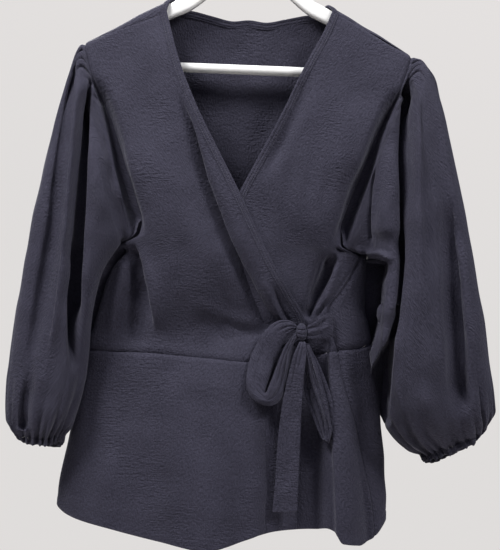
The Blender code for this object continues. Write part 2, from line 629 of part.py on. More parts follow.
def with_shoulder_rows(angles, levels, face, shares):
    """The grid with rows added below its first one, close enough to follow the bend over the hanger.

    Where the first row lies in front of the shoulder line, a negative share is part of the way to that line
    and a positive one is a distance past it. Elsewhere the rows are evenly spaced.
    """
    first, second = levels[0], levels[1]
    x_first, x_second = x_at(angles[0], first), x_at(angles[1], second)
    crest = crest_down(x_first)
    far = np.maximum(crest + 2 * CREST_R, first + 8.0)
    far = np.minimum(far, first + 0.8 * (second - first))
    rows_a, rows_l = [angles[0]], [first]
    for k, share in enumerate(shares):
        level = first + (far - first) * (k + 1) / len(shares)
        if face < 0:
            over_arm = crest + ((crest - first) * share if share < 0 else share)
            level = np.where(first < crest + 5, np.maximum(over_arm, first + 0.4 * (k + 1)), level)
        x = x_first + (x_second - x_first) * (level - first) / (second - first)
        rows_a.append(angle_of(x, level, face))
        rows_l.append(level)
    return np.array(rows_a + list(angles[1:])), np.array(rows_l + list(levels[1:]))


def column_shares(count, dense):
    """Shares across a panel, closer together near its side seam."""
    return (np.linspace(0, 1, count)) ** dense


OVER_COLUMNS = column_shares(22, 1.1)
UNDER_COLUMNS = column_shares(20, 1.3)
PEPLUM_ROWS = 9


def back_top_x():
    """Columns of the back bodice along its top, close together where the neck edge crosses the hanger."""
    shoulder = np.linspace(-TIP_X, -NECK_X, 6)
    corner = np.array([-99.5, -95.5, -90.0, -80.0])
    half = np.concatenate([shoulder, corner, np.linspace(-66, 0, 4)])
    return np.concatenate([half, -half[-2::-1]])


def back_columns():
    x = back_top_x()
    turn = angle_of(x, TIP_DOWN, -1)
    return (turn - turn[0]) / (turn[-1] - turn[0])


def back_side(side):
    """(angle, level) down one edge of the back bodice."""
    sign = -1 if side == "left" else 1
    round_front = 2 * math.pi if side == "right" else 0.0
    rows = armhole_rows([sign * x for x in ARMHOLE_BACK["x"]], ARMHOLE_BACK["down"], -1)
    end = ARMHOLE_FRONT[side + "_down"][-1]
    under = side_angle(end, side) + round_front
    near = rows[-2][0]
    rows[-2] = (near + (under - near) * 0.4, rows[-2][1])
    rows[-1] = (under, end + SHIFT)
    waist = float(smooth(WAIST["x"], WAIST["down"], -188 if side == "left" else 126))
    for down in seam_levels(end, waist, SIDE_ROWS):
        rows.append((side_angle(float(down), side) + round_front, float(down) + SHIFT))
    return rows


def back_grid():
    columns = back_columns()
    left, right = back_side("left"), back_side("right")
    angles, levels = quilt(left, right, columns)
    top_x = back_top_x()
    shoulder = smooth(SHOULDER_SEAM["x"], SHOULDER_SEAM["forward"], top_x)
    neck = smooth(BACK_NECK["x"], BACK_NECK["behind"], top_x)
    run = np.where(abs(top_x) >= NECK_X - 0.01, -shoulder, neck)
    top = crest_down(top_x) + run
    old_top = levels[0].copy()
    count = len(levels)
    for r in range(count):
        share = 1 - ramp(r / (count - 1 - SIDE_ROWS))
        x = ring_at(levels[r])[0] + ring_at(levels[r])[1] * np.cos(angles[r])
        x = x + (top_x - x) * share**3
        levels[r] = levels[r] + (top - old_top) * share
        angles[r] = np.where(share > 0, [float(angle_of(a, b, -1)) for a, b in zip(x, levels[r])], angles[r])
        if share < 1e-9:
            break
    return with_shoulder_rows(angles, waist_blend(angles, levels, None), -1, BACK_EXTRA)


# ---------------------------------------------------------------- peplums
def hem_down(x, face):
    front = smooth(HEM_FRONT["x"], HEM_FRONT["down"], x)
    back = smooth(HEM_BACK["x"], HEM_BACK["down"], x)
    return np.where(np.asarray(face) > 0, front, back)


def hem_level(angle):
    level = np.full(np.shape(angle), 760.0)
    face = np.where(np.sin(angle) >= -1e-9, 1, -1)
    for _ in range(4):
        level = hem_down(x_at(angle, level), face) + SHIFT
    return level


def peplum_grid(top_angles, top_levels, first_edge, last_edge, rows):
    """Angles and levels of a flared panel between two edges, from the waist seam to the hem.

    Each edge is a function from a level to a ring angle.
    """
    shares = (top_angles - top_angles[0]) / (top_angles[-1] - top_angles[0])
    hem_first, hem_last = first_edge(750.0), last_edge(760.0)
    for _ in range(3):
        hem_first = first_edge(float(hem_level(np.array([hem_first]))[0]))
        hem_last = last_edge(float(hem_level(np.array([hem_last]))[0]))
    bottom_angles = hem_first + (hem_last - hem_first) * shares
    bottom_levels = hem_level(bottom_angles)
    angles, levels = [], []
    for share in np.linspace(0, 1, rows):
        level = top_levels + (bottom_levels - top_levels) * share
        first = top_angles[0] if share == 0 else first_edge(float(level[0]))
        last = top_angles[-1] if share == 0 else last_edge(float(level[-1]))
        angles.append(first + (last - first) * shares)
        levels.append(level)
    return np.array(angles), np.array(levels)


def side_edge(side, turns=0.0):
    return lambda level: side_angle(level - SHIFT, side) + turns


def table_edge(table):
    return lambda level: float(angle_of(smooth(table["down"], table["x"], level - SHIFT), level, 1))


# ---------------------------------------------------------------- sleeves
def armhole_loop(side):
    """The seam of an armhole as points, down the front first, with normals and the way off its edge."""
    over = side == "left"
    grid = front_grid(side, OVER_COLUMNS if over else UNDER_COLUMNS)
    front, front_normal = torso_patch(*grid, "over" if over else "under")
    back, back_normal = torso_patch(*back_grid())
    if not over:
        back, back_normal = back[:, ::-1], back_normal[:, ::-1]
    down = slice(0, len(ARMHOLE_BACK["x"]) + len(FRONT_EXTRA))
    up = slice(len(ARMHOLE_BACK["x"]) + len(BACK_EXTRA) - 2, 0, -1)
    points = np.concatenate([front[down, 0], back[up, 0]])
    normal = np.concatenate([front_normal[down, 0], back_normal[up, 0]])
    off = np.concatenate([front[down, 0] - front[down, 1], back[up, 0] - back[up, 1]])
    off = unit(off)
    under, up = len(ARMHOLE_BACK["x"]) + len(FRONT_EXTRA) - 1, np.array([0.0, 0.0, 1.0])
    off[under] = up
    off[under + 1] = unit(off[under + 2] + 0.6 * up)
    return points, normal, off


def along_seam(values, points, turn, half_index):
    """Values round a closed seam: half a turn runs down the front and the other half up the back."""
    closed = np.concatenate([points, points[:1]])
    lengths = np.concatenate([[0], np.cumsum(np.linalg.norm(np.diff(closed, axis=0), axis=1))])
    down, up = lengths[half_index], lengths[-1] - lengths[half_index]
    at = np.where(turn <= math.pi, turn / math.pi * down, down + (turn / math.pi - 1) * up)
    for corner in (lengths[half_index - 1], lengths[half_index + 1]):
        at[np.argmin(abs(at - corner))] = corner
    looped = np.concatenate([values, values[:1]])
    return np.stack([np.interp(at, lengths, looped[:, k]) for k in range(3)], axis=1)


def ring_frame(table, k):
    """Middle of a sleeve's ring, the way from it to the ring's outer end, and the way to its front."""
    outer = np.array([table["ox"][k], -table["oy"][k], -table["od"][k]], float)
    inner = np.array([table["ix"][k], table["iy"][k], -table["id"][k]], float)
    middle, reach = (outer + inner) / 2, (outer - inner) / 2
    forward = np.array([0, -1.0, 0]) + reach * (reach[1] / reach.dot(reach))
    return middle, reach, unit(forward)


def signed_power(value, power):
    return np.sign(value) * abs(value) ** power


def column_turns(table, path, k):
    """Turns round a ring of the sleeve's columns. The middle one of the front follows the deep fold."""
    middle, reach, _ = ring_frame(table, k)
    turn = np.linspace(math.radians(45), math.radians(135), 91)
    along = signed_power(np.cos(turn), 0.9)
    x, down = middle[0] + along * reach[0], -(middle[2] + along * reach[2])
    line = np.interp(down, [p[1] for p in path], [p[0] for p in path])
    valley = turn[np.argmin(abs(x - line))]
    half = SLEEVE_COLUMNS // 2
    column = np.arange(half + 1) / half
    front = np.interp(column, [0, FOLD_COLUMN / half, 1], [0, valley, math.pi])
    back = math.pi + math.pi * column[1:-1]
    return np.concatenate([front, back])


def sleeve_rings(side, table, folds):
    """Rings of a sleeve from the armhole to the cuff, with the first ring's outward normals."""
    seam, normal, off = armhole_loop(side)
    under = len(ARMHOLE_BACK["x"]) + len(FRONT_EXTRA) - 1
    count = len(table["ox"])
    turns = [column_turns(table, folds[0]["path"], k) for k in range(count)]
    turn = turns[0]
    seam_at = along_seam(seam, seam, turn, under)
    normal_at = unit(along_seam(normal, seam, turn, under))
    off_at = unit(along_seam(off, seam, turn, under))
    face = np.where(np.sin(turn) >= 0, -1.0, 1.0)
    normal_at *= (np.sign(normal_at[:, 1]) * face)[:, None]
    beneath = ramp((-np.cos(turn) - 0.86) / 0.12)[:, None]
    first_normal = unit((1 - beneath) * normal_at + beneath * np.array([0, 0, -1.0]))
    way = off_at
    tilt = np.linalg.norm(np.cross(first_normal, normal_at), axis=1, keepdims=True)
    clear = 0.6 * SEAM_GAP + 0.5 * ramp(-np.cos(turn))[:, None]
    first = seam_at + way * (clear + CLOTH / 2 * tilt)
    rings = [first]
    wave = np.where(np.arange(SLEEVE_COLUMNS) % 3 == 1, -1.0, 0.5)
    for k in range(count):
        turn = turns[k]
        middle, reach, forward = ring_frame(table, k)
        depth = np.where(np.sin(turn) >= 0, table["front"][k], table["back"][k])
        along, swell = signed_power(np.cos(turn), 0.9), signed_power(np.sin(turn), 0.9)
        ring = middle + along[:, None] * reach + (swell * depth)[:, None] * forward
        fold = relief(folds, ring[:, 0], -ring[:, 2]) * np.where(np.sin(turn) >= 0, 1.0, 0.35)
        ring += (fold * ramp(abs(np.sin(turn)) * 2.2) * np.sign(swell))[:, None] * forward
        ring[:, 0] += ARMHOLE_STEP[side] * ramp(-1.4 * np.sin(turn)) * ramp(1 - k / 6)
        outward = unit(ring - middle)
        in_head = 1 - ramp(np.minimum(turn, 2 * math.pi - turn) / math.radians(HEAD_SPAN) - 0.3)
        ring += (HEAD_GATHER_OUT * math.exp(-((k - 1.2) ** 2) / 2.0) * in_head * wave)[:, None] * outward
        ring += (CUFF_GATHER_OUT * ramp((k - (count - 4)) / 3.0) * wave)[:, None] * outward
        blend = 1 - ramp((k + 1) / 3.0)
        rings.append(ring * (1 - blend) + (first + way * (5.0 * (k + 1))) * blend)
    return np.array(rings), first_normal


def sleeve(name, side, table, folds, material):
    rings, first_normal = sleeve_rings(side, table, folds)
    normals = normals_of(rings, True)
    outward = np.mean(np.sum(normals[8] * (rings[8] - rings[8].mean(axis=0)), axis=1))
    if outward < 0:
        rings, first_normal = rings[:, ::-1], first_normal[::-1]
        normals = normals_of(rings, True)
    normals[0] = first_normal
    normals[1] = unit(normals[1] + 0.5 * first_normal)
    way = ring_axis(rings)
    normals[-1] = unit(normals[-1] - way * normals[-1].dot(way)[:, None])
    wall(name, rings, material, closed=True, normals=normals)
    return rings


def ring_axis(rings):
    """The way out of a sleeve's last ring."""
    last, quarter = rings[-1], SLEEVE_COLUMNS // 4
    way = unit(np.cross(last[0] - last[2 * quarter], last[quarter] - last[3 * quarter]))
    return way * np.sign(way.dot(last.mean(axis=0) - rings[-3].mean(axis=0)))


def cuff(name, rings, material):
    """The elastic casing below a sleeve's last ring, drawn in a little."""
    last = rings[-1]
    way = ring_axis(rings)
    out = unit(last - last.mean(axis=0))
    casing = [last + way * along - out * drawn for along, drawn in CUFF_PROFILE]
    casing = np.array(casing)
    normals = normals_of(casing, True)
    normals = unit(normals - way * (normals @ way)[..., None])
    normals[0] = unit(normals_of(rings, True)[-1] - way * (normals_of(rings, True)[-1] @ way)[:, None])
    wall(name, casing, material, closed=True, normals=normals)


# ---------------------------------------------------------------- bindings and ties
def binding(name, angles, levels, layer, material):
    """A folded strip round a neckline edge, a U in section, clear of the cloth that it binds.

    The grid has two columns: the edge itself and the line where the strip ends.
    """
    points, normals = torso_patch(angles, levels, layer)
    edge, line = points[:, 0], points[:, 1]
    out = unit(edge - line)
    near = CLOTH / 2 + SEAM_GAP
    far = near + BAND_WALL
    sections = []
    for k in range(len(edge)):
        e, p, w, a, b = edge[k], line[k], out[k], normals[k, 0], normals[k, 1]
        sections.append([
            p + far * b, e + BAND_OVER * w + far * a, e + BAND_OVER * w - far * a, p - far * b,
            p - near * b, e + SEAM_GAP * w - near * a, e + SEAM_GAP * w + near * a, p + near * b,
        ])
    return banded(name, sections, material)


def banded(name, sections, material):
    """A closed body through U sections, its ends closed in three quads."""
    sections = np.array(sections)
    count, sides = sections.shape[:2]
    faces = []
    for s in range(count - 1):
        for k in range(sides):
            n = (k + 1) % sides
            a, b, c, d = s * sides + k, s * sides + n, (s + 1) * sides + n, (s + 1) * sides + k
            faces += [(a, b, d), (b, c, d)] if k in (2, 6) else [(a, b, c), (a, c, d)]
    last = (count - 1) * sides
    for quad in ((0, 1, 6, 7), (1, 2, 5, 6), (2, 3, 4, 5)):
        faces.append(quad[::-1])
        faces.append(tuple(last + k for k in quad))
    return make_object(name, sections.reshape(-1, 3), faces, material, 40)


def front_depth(x, down):
    """How far in front of the hanger the upper wrap's cloth lies."""
    level = nominal_down(x, down)
    return -torso(angle_of(x, level, 1), level, "over")[..., 1]


def ribbon(name, table, material, columns=4):
    """A band of doubled cloth through stations, each with its two edges."""
    share = np.linspace(0, 1, columns)
    ax, ad, bx, bd = (np.array(table[key], float)[:, None] for key in ("ax", "ad", "bx", "bd"))
    x, down = ax + (bx - ax) * share, ad + (bd - ad) * share
    if "out" in table:
        out = np.array(table["out"], float)[:, None] + 0 * x
    else:
        out = np.maximum(front_depth(x, down), TIE_FLOOR) + np.array(table["off"], float)[:, None]
    grid = np.stack([x, -out, -down], axis=-1)
    return wall(name, grid, material, TIE_WALL)


def knot(name, material):
    """The wrapped knot: a squat closed body, pinched at its middle."""
    sections = []
    middle_x = (KNOT["left"] + KNOT["right"]) / 2
    half_x = (KNOT["right"] - KNOT["left"]) / 2
    for share in np.linspace(0, 1, 9):
        down = KNOT["top"] + (KNOT["bottom"] - KNOT["top"]) * share
        swell = 0.62 + 0.38 * math.sin(math.pi * share)
        ring = []
        for k in range(12):
            turn = -2 * math.pi * k / 12
            ring.append(
                (
                    middle_x + half_x * swell * math.cos(turn),
                    -KNOT["out"] - KNOT["half_deep"] * swell * math.sin(turn),
                    -down,
                )
            )
        sections.append(ring)
    return swept(name, sections, material, 60)


# ---------------------------------------------------------------- hanger
def hanger_arms(name, material):
    """Both arms in one piece, with a lug at each end for the bar. The section is a rounded oblong."""
    right = list(zip(ARM["x"], ARM["top"], ARM["bottom"]))
    stations = [(-x, top, bottom) for x, top, bottom in right[:0:-1]] + right
    reach, radius = ARM_THICK / 2, ARM_CORNER
    sections = []
    for x, top, bottom in stations:
        ring = []
        for k in range(12):
            turn = math.radians(15 + 30 * k)
            y, z = math.sin(turn), math.cos(turn)
            level = -top - radius if z > 0 else -bottom + radius
            ring.append((x, math.copysign(reach - radius, y) + radius * y, level + radius * z))
        sections.append(ring[::-1])
    return swept(name, sections, material, 40, drawn=False)


def round_bar(name, start, end, radius, sides, material):
    sections = []
    for x in (start, end):
        ring = []
        for k in range(sides):
            turn = 2 * math.pi * k / sides
            ring.append((x, -radius * math.sin(turn), -BAR_DOWN + radius * math.cos(turn)))
        sections.append(ring)
    return swept(name, sections, material, 40, drawn=False)


def hook(name, material):
    """The wire hook: a stem from the arms and most of a circle, whose inside top is the origin."""
    centre_down = HOOK_R - HOOK_WIRE_R
    stem_top = centre_down + HOOK_R
    path = [(0.0, ARM["top"][0] - SEAM_GAP), (0.0, stem_top + 3.5), (2.6, stem_top - 0.2)]
    for turn in np.radians(np.linspace(-66, 200, 20)):
        path.append((HOOK_R * math.cos(turn), centre_down - HOOK_R * math.sin(turn)))
    path = np.array(path)
    way = np.gradient(path, axis=0)
    way /= np.linalg.norm(way, axis=1, keepdims=True)
    way[0] = (0.0, -1.0)
    sections = []
    for (x, down), (dx, dd) in zip(path, way):
        ring = []
        for k in range(8):
            turn = 2 * math.pi * k / 8
            side, deep = HOOK_WIRE_R * math.cos(turn), HOOK_WIRE_R * math.sin(turn)
            ring.append((x - dd * side, deep, -(down + dx * side)))
        sections.append(ring)
    return swept(name, sections, material, 60, drawn=False)


# ---------------------------------------------------------------- the whole part
def build():
    for obj in list(bpy.data.objects):
        bpy.data.objects.remove(obj)
    crepe = cloth_material("crepe", (0.033, 0.031, 0.040), 0.85)
    white = cloth_material("white_lacquer", (0.86, 0.86, 0.85), 0.35)
    steel = cloth_material("steel", (0.62, 0.62, 0.63), 0.25)
    steel.node_tree.nodes["Principled BSDF"].inputs["Metallic"].default_value = 1.0

    over_angles, over_levels = front_grid("left", OVER_COLUMNS)
    under_angles, under_levels = front_grid("right", UNDER_COLUMNS)
    back_angles, back_levels = back_grid()
    over_peplum = peplum_grid(
        over_angles[-1], over_levels[-1], side_edge("left"), table_edge(PEPLUM_OVER_EDGE), PEPLUM_ROWS
    )
    under_peplum = peplum_grid(
        under_angles[-1], under_levels[-1], side_edge("right"), table_edge(PEPLUM_UNDER_EDGE), PEPLUM_ROWS
    )
    back_peplum = peplum_grid(
        back_angles[-1], back_levels[-1], side_edge("left"), side_edge("right", 2 * math.pi), PEPLUM_ROWS
    )
    panels = (
        ("front_over_bodice", (over_angles, over_levels), "over"),
        ("front_under_bodice", (under_angles, under_levels), "under"),
        ("back_bodice", (back_angles, back_levels), ""),
        ("front_over_peplum", over_peplum, "over"),
        ("front_under_peplum", under_peplum, "under"),
        ("back_peplum", back_peplum, ""),
    )
    for name, (angles, levels), layer in panels:
        points, normals = torso_patch(*trimmed(angles, levels, layer), layer)
        wall(name, points, crepe, normals=normals)
    rings = sleeve("sleeve_left", "left", SLEEVE_LEFT, SLEEVE_LEFT_FOLDS, crepe)
    cuff("cuff_left", rings, crepe)
    rings = sleeve("sleeve_right", "right", SLEEVE_RIGHT, SLEEVE_RIGHT_FOLDS, crepe)
    cuff("cuff_right", rings, crepe)
    binding("neck_band_over", over_angles[:, [-1, -2]], over_levels[:, [-1, -2]], "over", crepe)
    binding("neck_band_under", under_angles[:, [-1, -2]], under_levels[:, [-1, -2]], "under", crepe)
    neck = np.flatnonzero(abs(back_top_x()) < 91)
    binding("neck_band_back", back_angles[[0, 6]][:, neck].T, back_levels[[0, 6]][:, neck].T, "", crepe)
    ribbon("tie_strap", TIE_STRAP, crepe)
    ribbon("bow_loop_left", LOOP_LEFT, crepe)
    ribbon("bow_loop_right", LOOP_RIGHT, crepe)
    ribbon("tie_tail_front", TAIL_FRONT, crepe)
    ribbon("tie_tail_back", TAIL_BACK, crepe)
    knot("bow_knot", crepe)
    hanger_arms("hanger_arms", white)
    lug = ARM["x"][7] - SEAM_GAP
    round_bar("hanger_bar", -lug, lug, BAR_R, 16, white)
    hook("hanger_hook", steel)


build()
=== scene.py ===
"""Wrap top on a clothes hanger, dressed: fine cloth on the solids' surfaces, stitching, bow and hanger.

Sizes in the tables are millimetres. "down" is the distance below the hook's resting point, which is the
origin. X runs to the viewer's right, the front faces -Y, and +Z is up.
"""

import math

import bpy
import numpy as np
from mathutils import Matrix, Vector


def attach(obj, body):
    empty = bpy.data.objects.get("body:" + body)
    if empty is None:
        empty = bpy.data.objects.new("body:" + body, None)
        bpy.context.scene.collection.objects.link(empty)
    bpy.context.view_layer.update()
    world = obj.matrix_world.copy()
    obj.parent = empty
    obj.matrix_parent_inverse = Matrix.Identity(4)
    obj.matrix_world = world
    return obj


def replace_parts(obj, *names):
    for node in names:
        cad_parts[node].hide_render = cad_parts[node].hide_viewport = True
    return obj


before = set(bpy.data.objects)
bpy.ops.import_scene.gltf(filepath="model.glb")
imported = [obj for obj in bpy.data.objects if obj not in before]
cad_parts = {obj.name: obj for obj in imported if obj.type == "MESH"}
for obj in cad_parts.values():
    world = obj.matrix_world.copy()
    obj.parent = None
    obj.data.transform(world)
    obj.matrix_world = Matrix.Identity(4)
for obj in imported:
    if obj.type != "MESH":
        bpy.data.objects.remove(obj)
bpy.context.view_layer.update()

# ---------------------------------------------------------------- driving dimensions, millimetres
MM = 0.001
VIEW_FROM = (13.6, 1650.0, -446.4)  # x, distance in front, level: where the tables' sizes are seen from
SEAM_GAP = 0.3  # space left between two sewn pieces
LAYER = 5.2  # how far the upper wrap lies in front of the under wrap
SINK = 5.0  # how much further back the under wrap lies where it is covered
NECK_X = 103.0  # neck point, either side
NECK_DOWN = 112.0
TIP_X = 203.0  # shoulder tip, either side
TIP_DOWN = 168.0
SHOULDER_SLOPE = (TIP_DOWN - NECK_DOWN) / (TIP_X - NECK_X)
NECK_RISE = 0.50  # how the shoulder line runs on towards the hook, inside the neck
CREST_R = 9.0  # radius of the cloth where it bends over the hanger
KNOT_X = 79.0  # where the wrap closes
BAND_WIDTH = 8.0  # of the neckline's bindings
# Torso outline from the front. Above the underarm it is the ellipse that the armholes are cut from.
TORSO = {
    "down": (60, 110, 168, 240, 300, 360, 415, 437, 457, 487, 517, 546, 565, 604, 664, 726, 800),
    "left": (
        -330, -300, -262, -226, -202, -180, -163, -170, -178, -184, -188, -188, -188, -193, -203, -213, -215,
    ),
    "right": (330, 300, 262, 226, 202, 178, 157, 156, 156, 157, 164, 170, 173, 179, 187, 193, 194),
}
# Fullness of the cloth below the shoulder line, in front of and behind the hanger.
FULLNESS = {
    "below": (0, 40, 100, 200, 300, 380, 430, 520, 600, 720),
    "front": (0, 8, 17, 25, 29, 27, 24, 33, 42, 50),
    "back": (0, 5, 10, 14, 15, 13, 12, 18, 25, 32),
}
# Front armholes, from the shoulder tip to the underarm. One row for each row of the front bodices.
ARMHOLE_FRONT = {
    "left_x": (-203, -196, -189, -178, -168, -159, -151, -142, -134, -127.5, -150),
    "left_down": (168, 191, 213, 238, 264, 292, 322, 352, 378, 401, 416),
    "right_x": (203, 196, 187, 177, 167, 158, 149, 140, 132, 125.5, 149),
    "right_down": (168, 191, 217, 244, 270, 298, 326, 354, 381, 406, 419),
}
ARMHOLE_BACK = {
    "x": (203, 198, 194, 189, 185, 180, 175, 170, 165, 160, 150),
    "down": (168, 191, 213, 238, 264, 292, 322, 352, 378, 401, 417.5),
}
# Side seams below the underarm. The right one is drawn forward by the tie.
SIDE_SEAM = {
    "left_down": (416, 432, 452, 480, 520, 760),
    "left_turn": (25.0, 14.0, 6.0, 1.5, 0.0, 0.0),  # degrees forward of the torso's side
    "right_down": (419, 440, 463, 488, 512, 535, 572, 621, 682, 720, 765),
    "right_x": (149, 140, 126, 112, 117, 125, 134, 151, 166, 176, 181),
}
# Neckline edges of the two fronts, from the neck point down to where they are tied or hidden.
OVER_EDGE = {
    "down": (113, 136, 188, 247, 295, 342, 381, 432, 475, 500, 530),
    "x": (-103, -99.5, -84, -58, -32, -6, 14, 41, 68, 82, 80),
}
UNDER_EDGE = {
    "down": (113, 128, 142, 190, 248, 285, 319, 348, 400, 460, 548),
    "x": (103, 99.5, 94, 70, 45, 27, 10, -4, -28, -52, -76),
}
BACK_NECK = {  # x against how far behind the shoulder line the edge lies, along the cloth
    "x": (-103, -99.5, -95.5, -90, -80, -71, -43, 0, 43, 71, 80, 90, 95.5, 99.5, 103),
    "behind": (-19, -8, 2, 12, 24, 30, 50, 73.5, 50, 30, 24, 13, 4, -4, -11),
}
PEPLUM_OVER_EDGE = {"down": (500, 560, 640, 770), "x": (82, 79, 80, 84)}
PEPLUM_UNDER_EDGE = {"down": (500, 640, 770), "x": (-70, -80, -84)}
WAIST = {  # the seam between bodice and peplum, seen from the front
    "x": (-190, -106, -44, 10, 50, 100, 126, 147, 172),
    "down": (546, 547, 550, 553, 550, 541, 535, 532, 524),
}
WAIST_BACK_DOWN = 540.0
WAIST_END = {"left": -188, "right": 126}  # x of its two ends, where the side seams meet it
HEM_FRONT = {
    "x": (-214, -203, -185, -145, -85, -28, -12, 8, 27, 46, 81, 123, 131, 137, 146, 160, 175, 185, 194),
    "down": (738, 748, 756, 766, 779, 789, 786, 778, 771, 763, 757, 754, 758, 768, 774, 774, 767, 756, 740),
}
HEM_BACK = {"x": (-214, -120, 0, 120, 194), "down": (738, 742, 744, 743, 740)}
SHOULDER_SEAM = {  # how far the seam lies in front of the shoulder line, along the cloth
    "x": (-203, -150, -103, 103, 150, 203),
    "forward": (3, 13, 19, 11, 8, 3),
}
# Folds: name, half-width, how far the cloth stands out (+) or in (-), the shares of its path over which the
# fold rises and dies, and the path as x and down in turn. A pair of half-widths is for the viewer's left and
# right of the path. Two more numbers say how square the fold is in section and how much it widens on its way.
TORSO_FOLDS = (
    ("neck_ridge", 15, 7, (0.3, 0.1), (-92, 175, -48, 285, 0, 388, 56, 488)),
    ("neck_valley", 15, -7, (0.4, 0.1), (-118, 190, -78, 300, -30, 410, 30, 505)),
    ("bust_ridge", 40, 6, (0.4, 0.4), (-120, 250, -100, 400, -84, 545)),
    ("dart_valley", 10, -8, (0.25, 0.2), (-126, 425, -120, 480, -122, 540)),
    ("dart_ridge", 10, 4, (0.2, 0.3), (-128, 425, -108, 470, -100, 530)),
    ("right_roll", 10, -4, (0.3, 0.3), (82, 190, 54, 262, 22, 330)),
    ("right_ridge", 22, 7, (0.4, 0.3), (128, 220, 104, 330, 88, 450)),
    ("right_valley", 16, -5, (0.4, 0.3), (100, 240, 76, 350, 66, 450)),
    ("right_tuck", 8, -7, (0.2, 0.3), (119, 415, 106, 455, 95, 492)),
    ("hem_ridge", 46, 9, (0.8, 0), (-30, 600, -28, 700, -26, 790)),
    ("left_flute", 34, 8, (0.8, 0), (-150, 600, -158, 700, -166, 780)),
    ("left_dip", 30, -5, (0.8, 0), (-96, 590, -98, 700, -102, 790)),
    ("bow_trough", 27, -22, (0.3, 0), (88, 505, 84, 600, 80, 700, 78, 790)),
    ("right_flute", 16, 16, (0.4, 0), (128, 515, 139, 620, 149, 700, 154, 790)),
    ("bust_left", 52, 9, (0, 0), (-125, 330, -80, 385, -40, 420)),
    ("bust_right", 44, 8, (0, 0), (120, 280, 92, 350)),
    ("low_right", 26, -7, (0.6, 0), (66, 380, 84, 460, 92, 520)),
    ("waist_in", 38, -11, (0, 0), (-138, 524, -60, 528, 50, 520)),
)
BACK_FOLDS = (
    ("shoulder_left", 30, 5, (0.4, 0.3), (-130, 200, -100, 330, -92, 470)),
    ("shoulder_right", 26, 6, (0.4, 0.3), (126, 190, 96, 340, 84, 470)),
    ("spine", 24, -5, (0.4, 0.3), (4, 230, -4, 380, 2, 520)),
    ("flute_1", 24, 12, (0.8, 0), (-118, 560, -128, 670, -136, 760)),
    ("flute_2", 22, 11, (0.8, 0), (-40, 570, -44, 670, -46, 760)),
    ("flute_3", 24, 12, (0.8, 0), (36, 560, 42, 670, 46, 760)),
    ("flute_4", 22, 10, (0.8, 0), (108, 570, 120, 670, 128, 760)),
    ("dip_1", 18, -9, (0.8, 0), (-80, 570, -84, 670, -88, 760)),
    ("dip_2", 18, -9, (0.8, 0), (0, 570, -1, 670, -2, 760)),
    ("dip_3", 18, -8, (0.8, 0), (72, 570, 80, 670, 86, 760)),
)
# Sleeves: one row for each ring below the armhole. "o" is the outer end of the ring and "i" the inner end.
SLEEVE_LEFT = {
    "ox": (-206, -213, -220, -227.5, -237, -246, -254, -261, -267, -273, -277, -279.5, -278.5, -275, -269),
    "od": (168, 184, 208, 239, 282, 328, 376, 424, 471, 516, 556, 590, 619, 644, 659),
    "oy": (0, 2, 5, 8, 10, 12, 13, 13, 13, 12, 10, 8, 6, 4, 2),
    "ix": (-150, -147, -148, -155, -165, -172, -176, -179, -181, -182, -183, -186, -192, -199, -206),
    "id": (413, 412, 415, 426, 442, 460, 482, 506, 530, 553, 575, 596, 621, 644, 661),
    "iy": (-15, -20, -26, -30, -32, -33, -34, -34, -34, -34, -34, -34, -33, -31, -28),
    "front": (14, 19, 24, 28, 30, 31, 31, 31, 32, 33, 35, 37, 38, 36, 32),
    "back": (12, 16, 20, 24, 27, 28, 28, 28, 29, 30, 31, 31, 30, 27, 23),
}
SLEEVE_RIGHT = {
    "ox": (206, 214, 224, 235, 247, 259, 271, 282, 292, 302, 310, 317, 321, 323.5, 323.5),
    "od": (168, 171, 184, 210, 247, 293, 342, 390, 437, 486, 533, 573, 600, 615, 625),
    "oy": (0, 2, 5, 8, 10, 11, 12, 12, 12, 11, 10, 8, 6, 4, 2),
    "ix": (151, 158, 162, 163, 162, 161, 161, 163, 166, 169, 173, 181, 195, 215, 233.5),
    "id": (414, 413, 417, 428, 446, 468, 492, 516, 540, 563, 587, 612, 636, 655, 668),
    "iy": (-13, -14, -14, -13, -12, -12, -15, -22, -28, -32, -34, -33, -28, -19, -9),
    "front": (14, 19, 25, 30, 34, 37, 38, 39, 40, 40, 40, 38, 34, 26, 18),
    "back": (12, 16, 20, 24, 27, 28, 28, 28, 29, 30, 30, 29, 26, 20, 14),
}
SLEEVE_LEFT_FOLDS = (
    ("deep", 8, -11, (0.2, 0.25), (-191, 205, -199, 245, -203, 330, -206, 410, -203, 470, -193, 530)),
    ("strip", 9, 7, (0.1, 0.3), (-206, 190, -214, 280, -218, 400, -226, 510, -240, 600)),
    ("outer", 7, -8, (0.1, 0.25), (-209, 178, -218, 230, -224, 300, -232, 400, -246, 500, -262, 620)),
    ("cuff_fold", 5, -7, (0.5, 0.1), (-250, 560, -258, 610, -262, 650)),
    ("inner", 14, 6, (0.3, 0.3), (-172, 250, -168, 330, -160, 395)),
)
SLEEVE_RIGHT_FOLDS = (
    ("deep", 8, -13, (0.2, 0.25), (199, 200, 201, 260, 200, 340, 199, 420, 194, 490, 183, 545)),
    ("void", 9, -20, (0.1, 0.3), (174, 428, 173, 455, 171, 490, 172, 520)),
    ("strip", 10, 6, (0.1, 0.4), (214, 195, 218, 300, 222, 420, 224, 560)),
    ("outer", 9, -7, (0.2, 0.1), (221, 190, 236, 260, 252, 360, 262, 470, 274, 560, 280, 640)),
    ("outer_ridge", 10, 4, (0.2, 0.2), (232, 200, 258, 330, 282, 460, 300, 590)),
    ("inner", 14, 6, (0.3, 0.3), (178, 260, 172, 330, 168, 400)),
)
ARMHOLE_STEP = {"left": -13.0, "right": 27.0}  # how much wider the back armhole stands than the front one
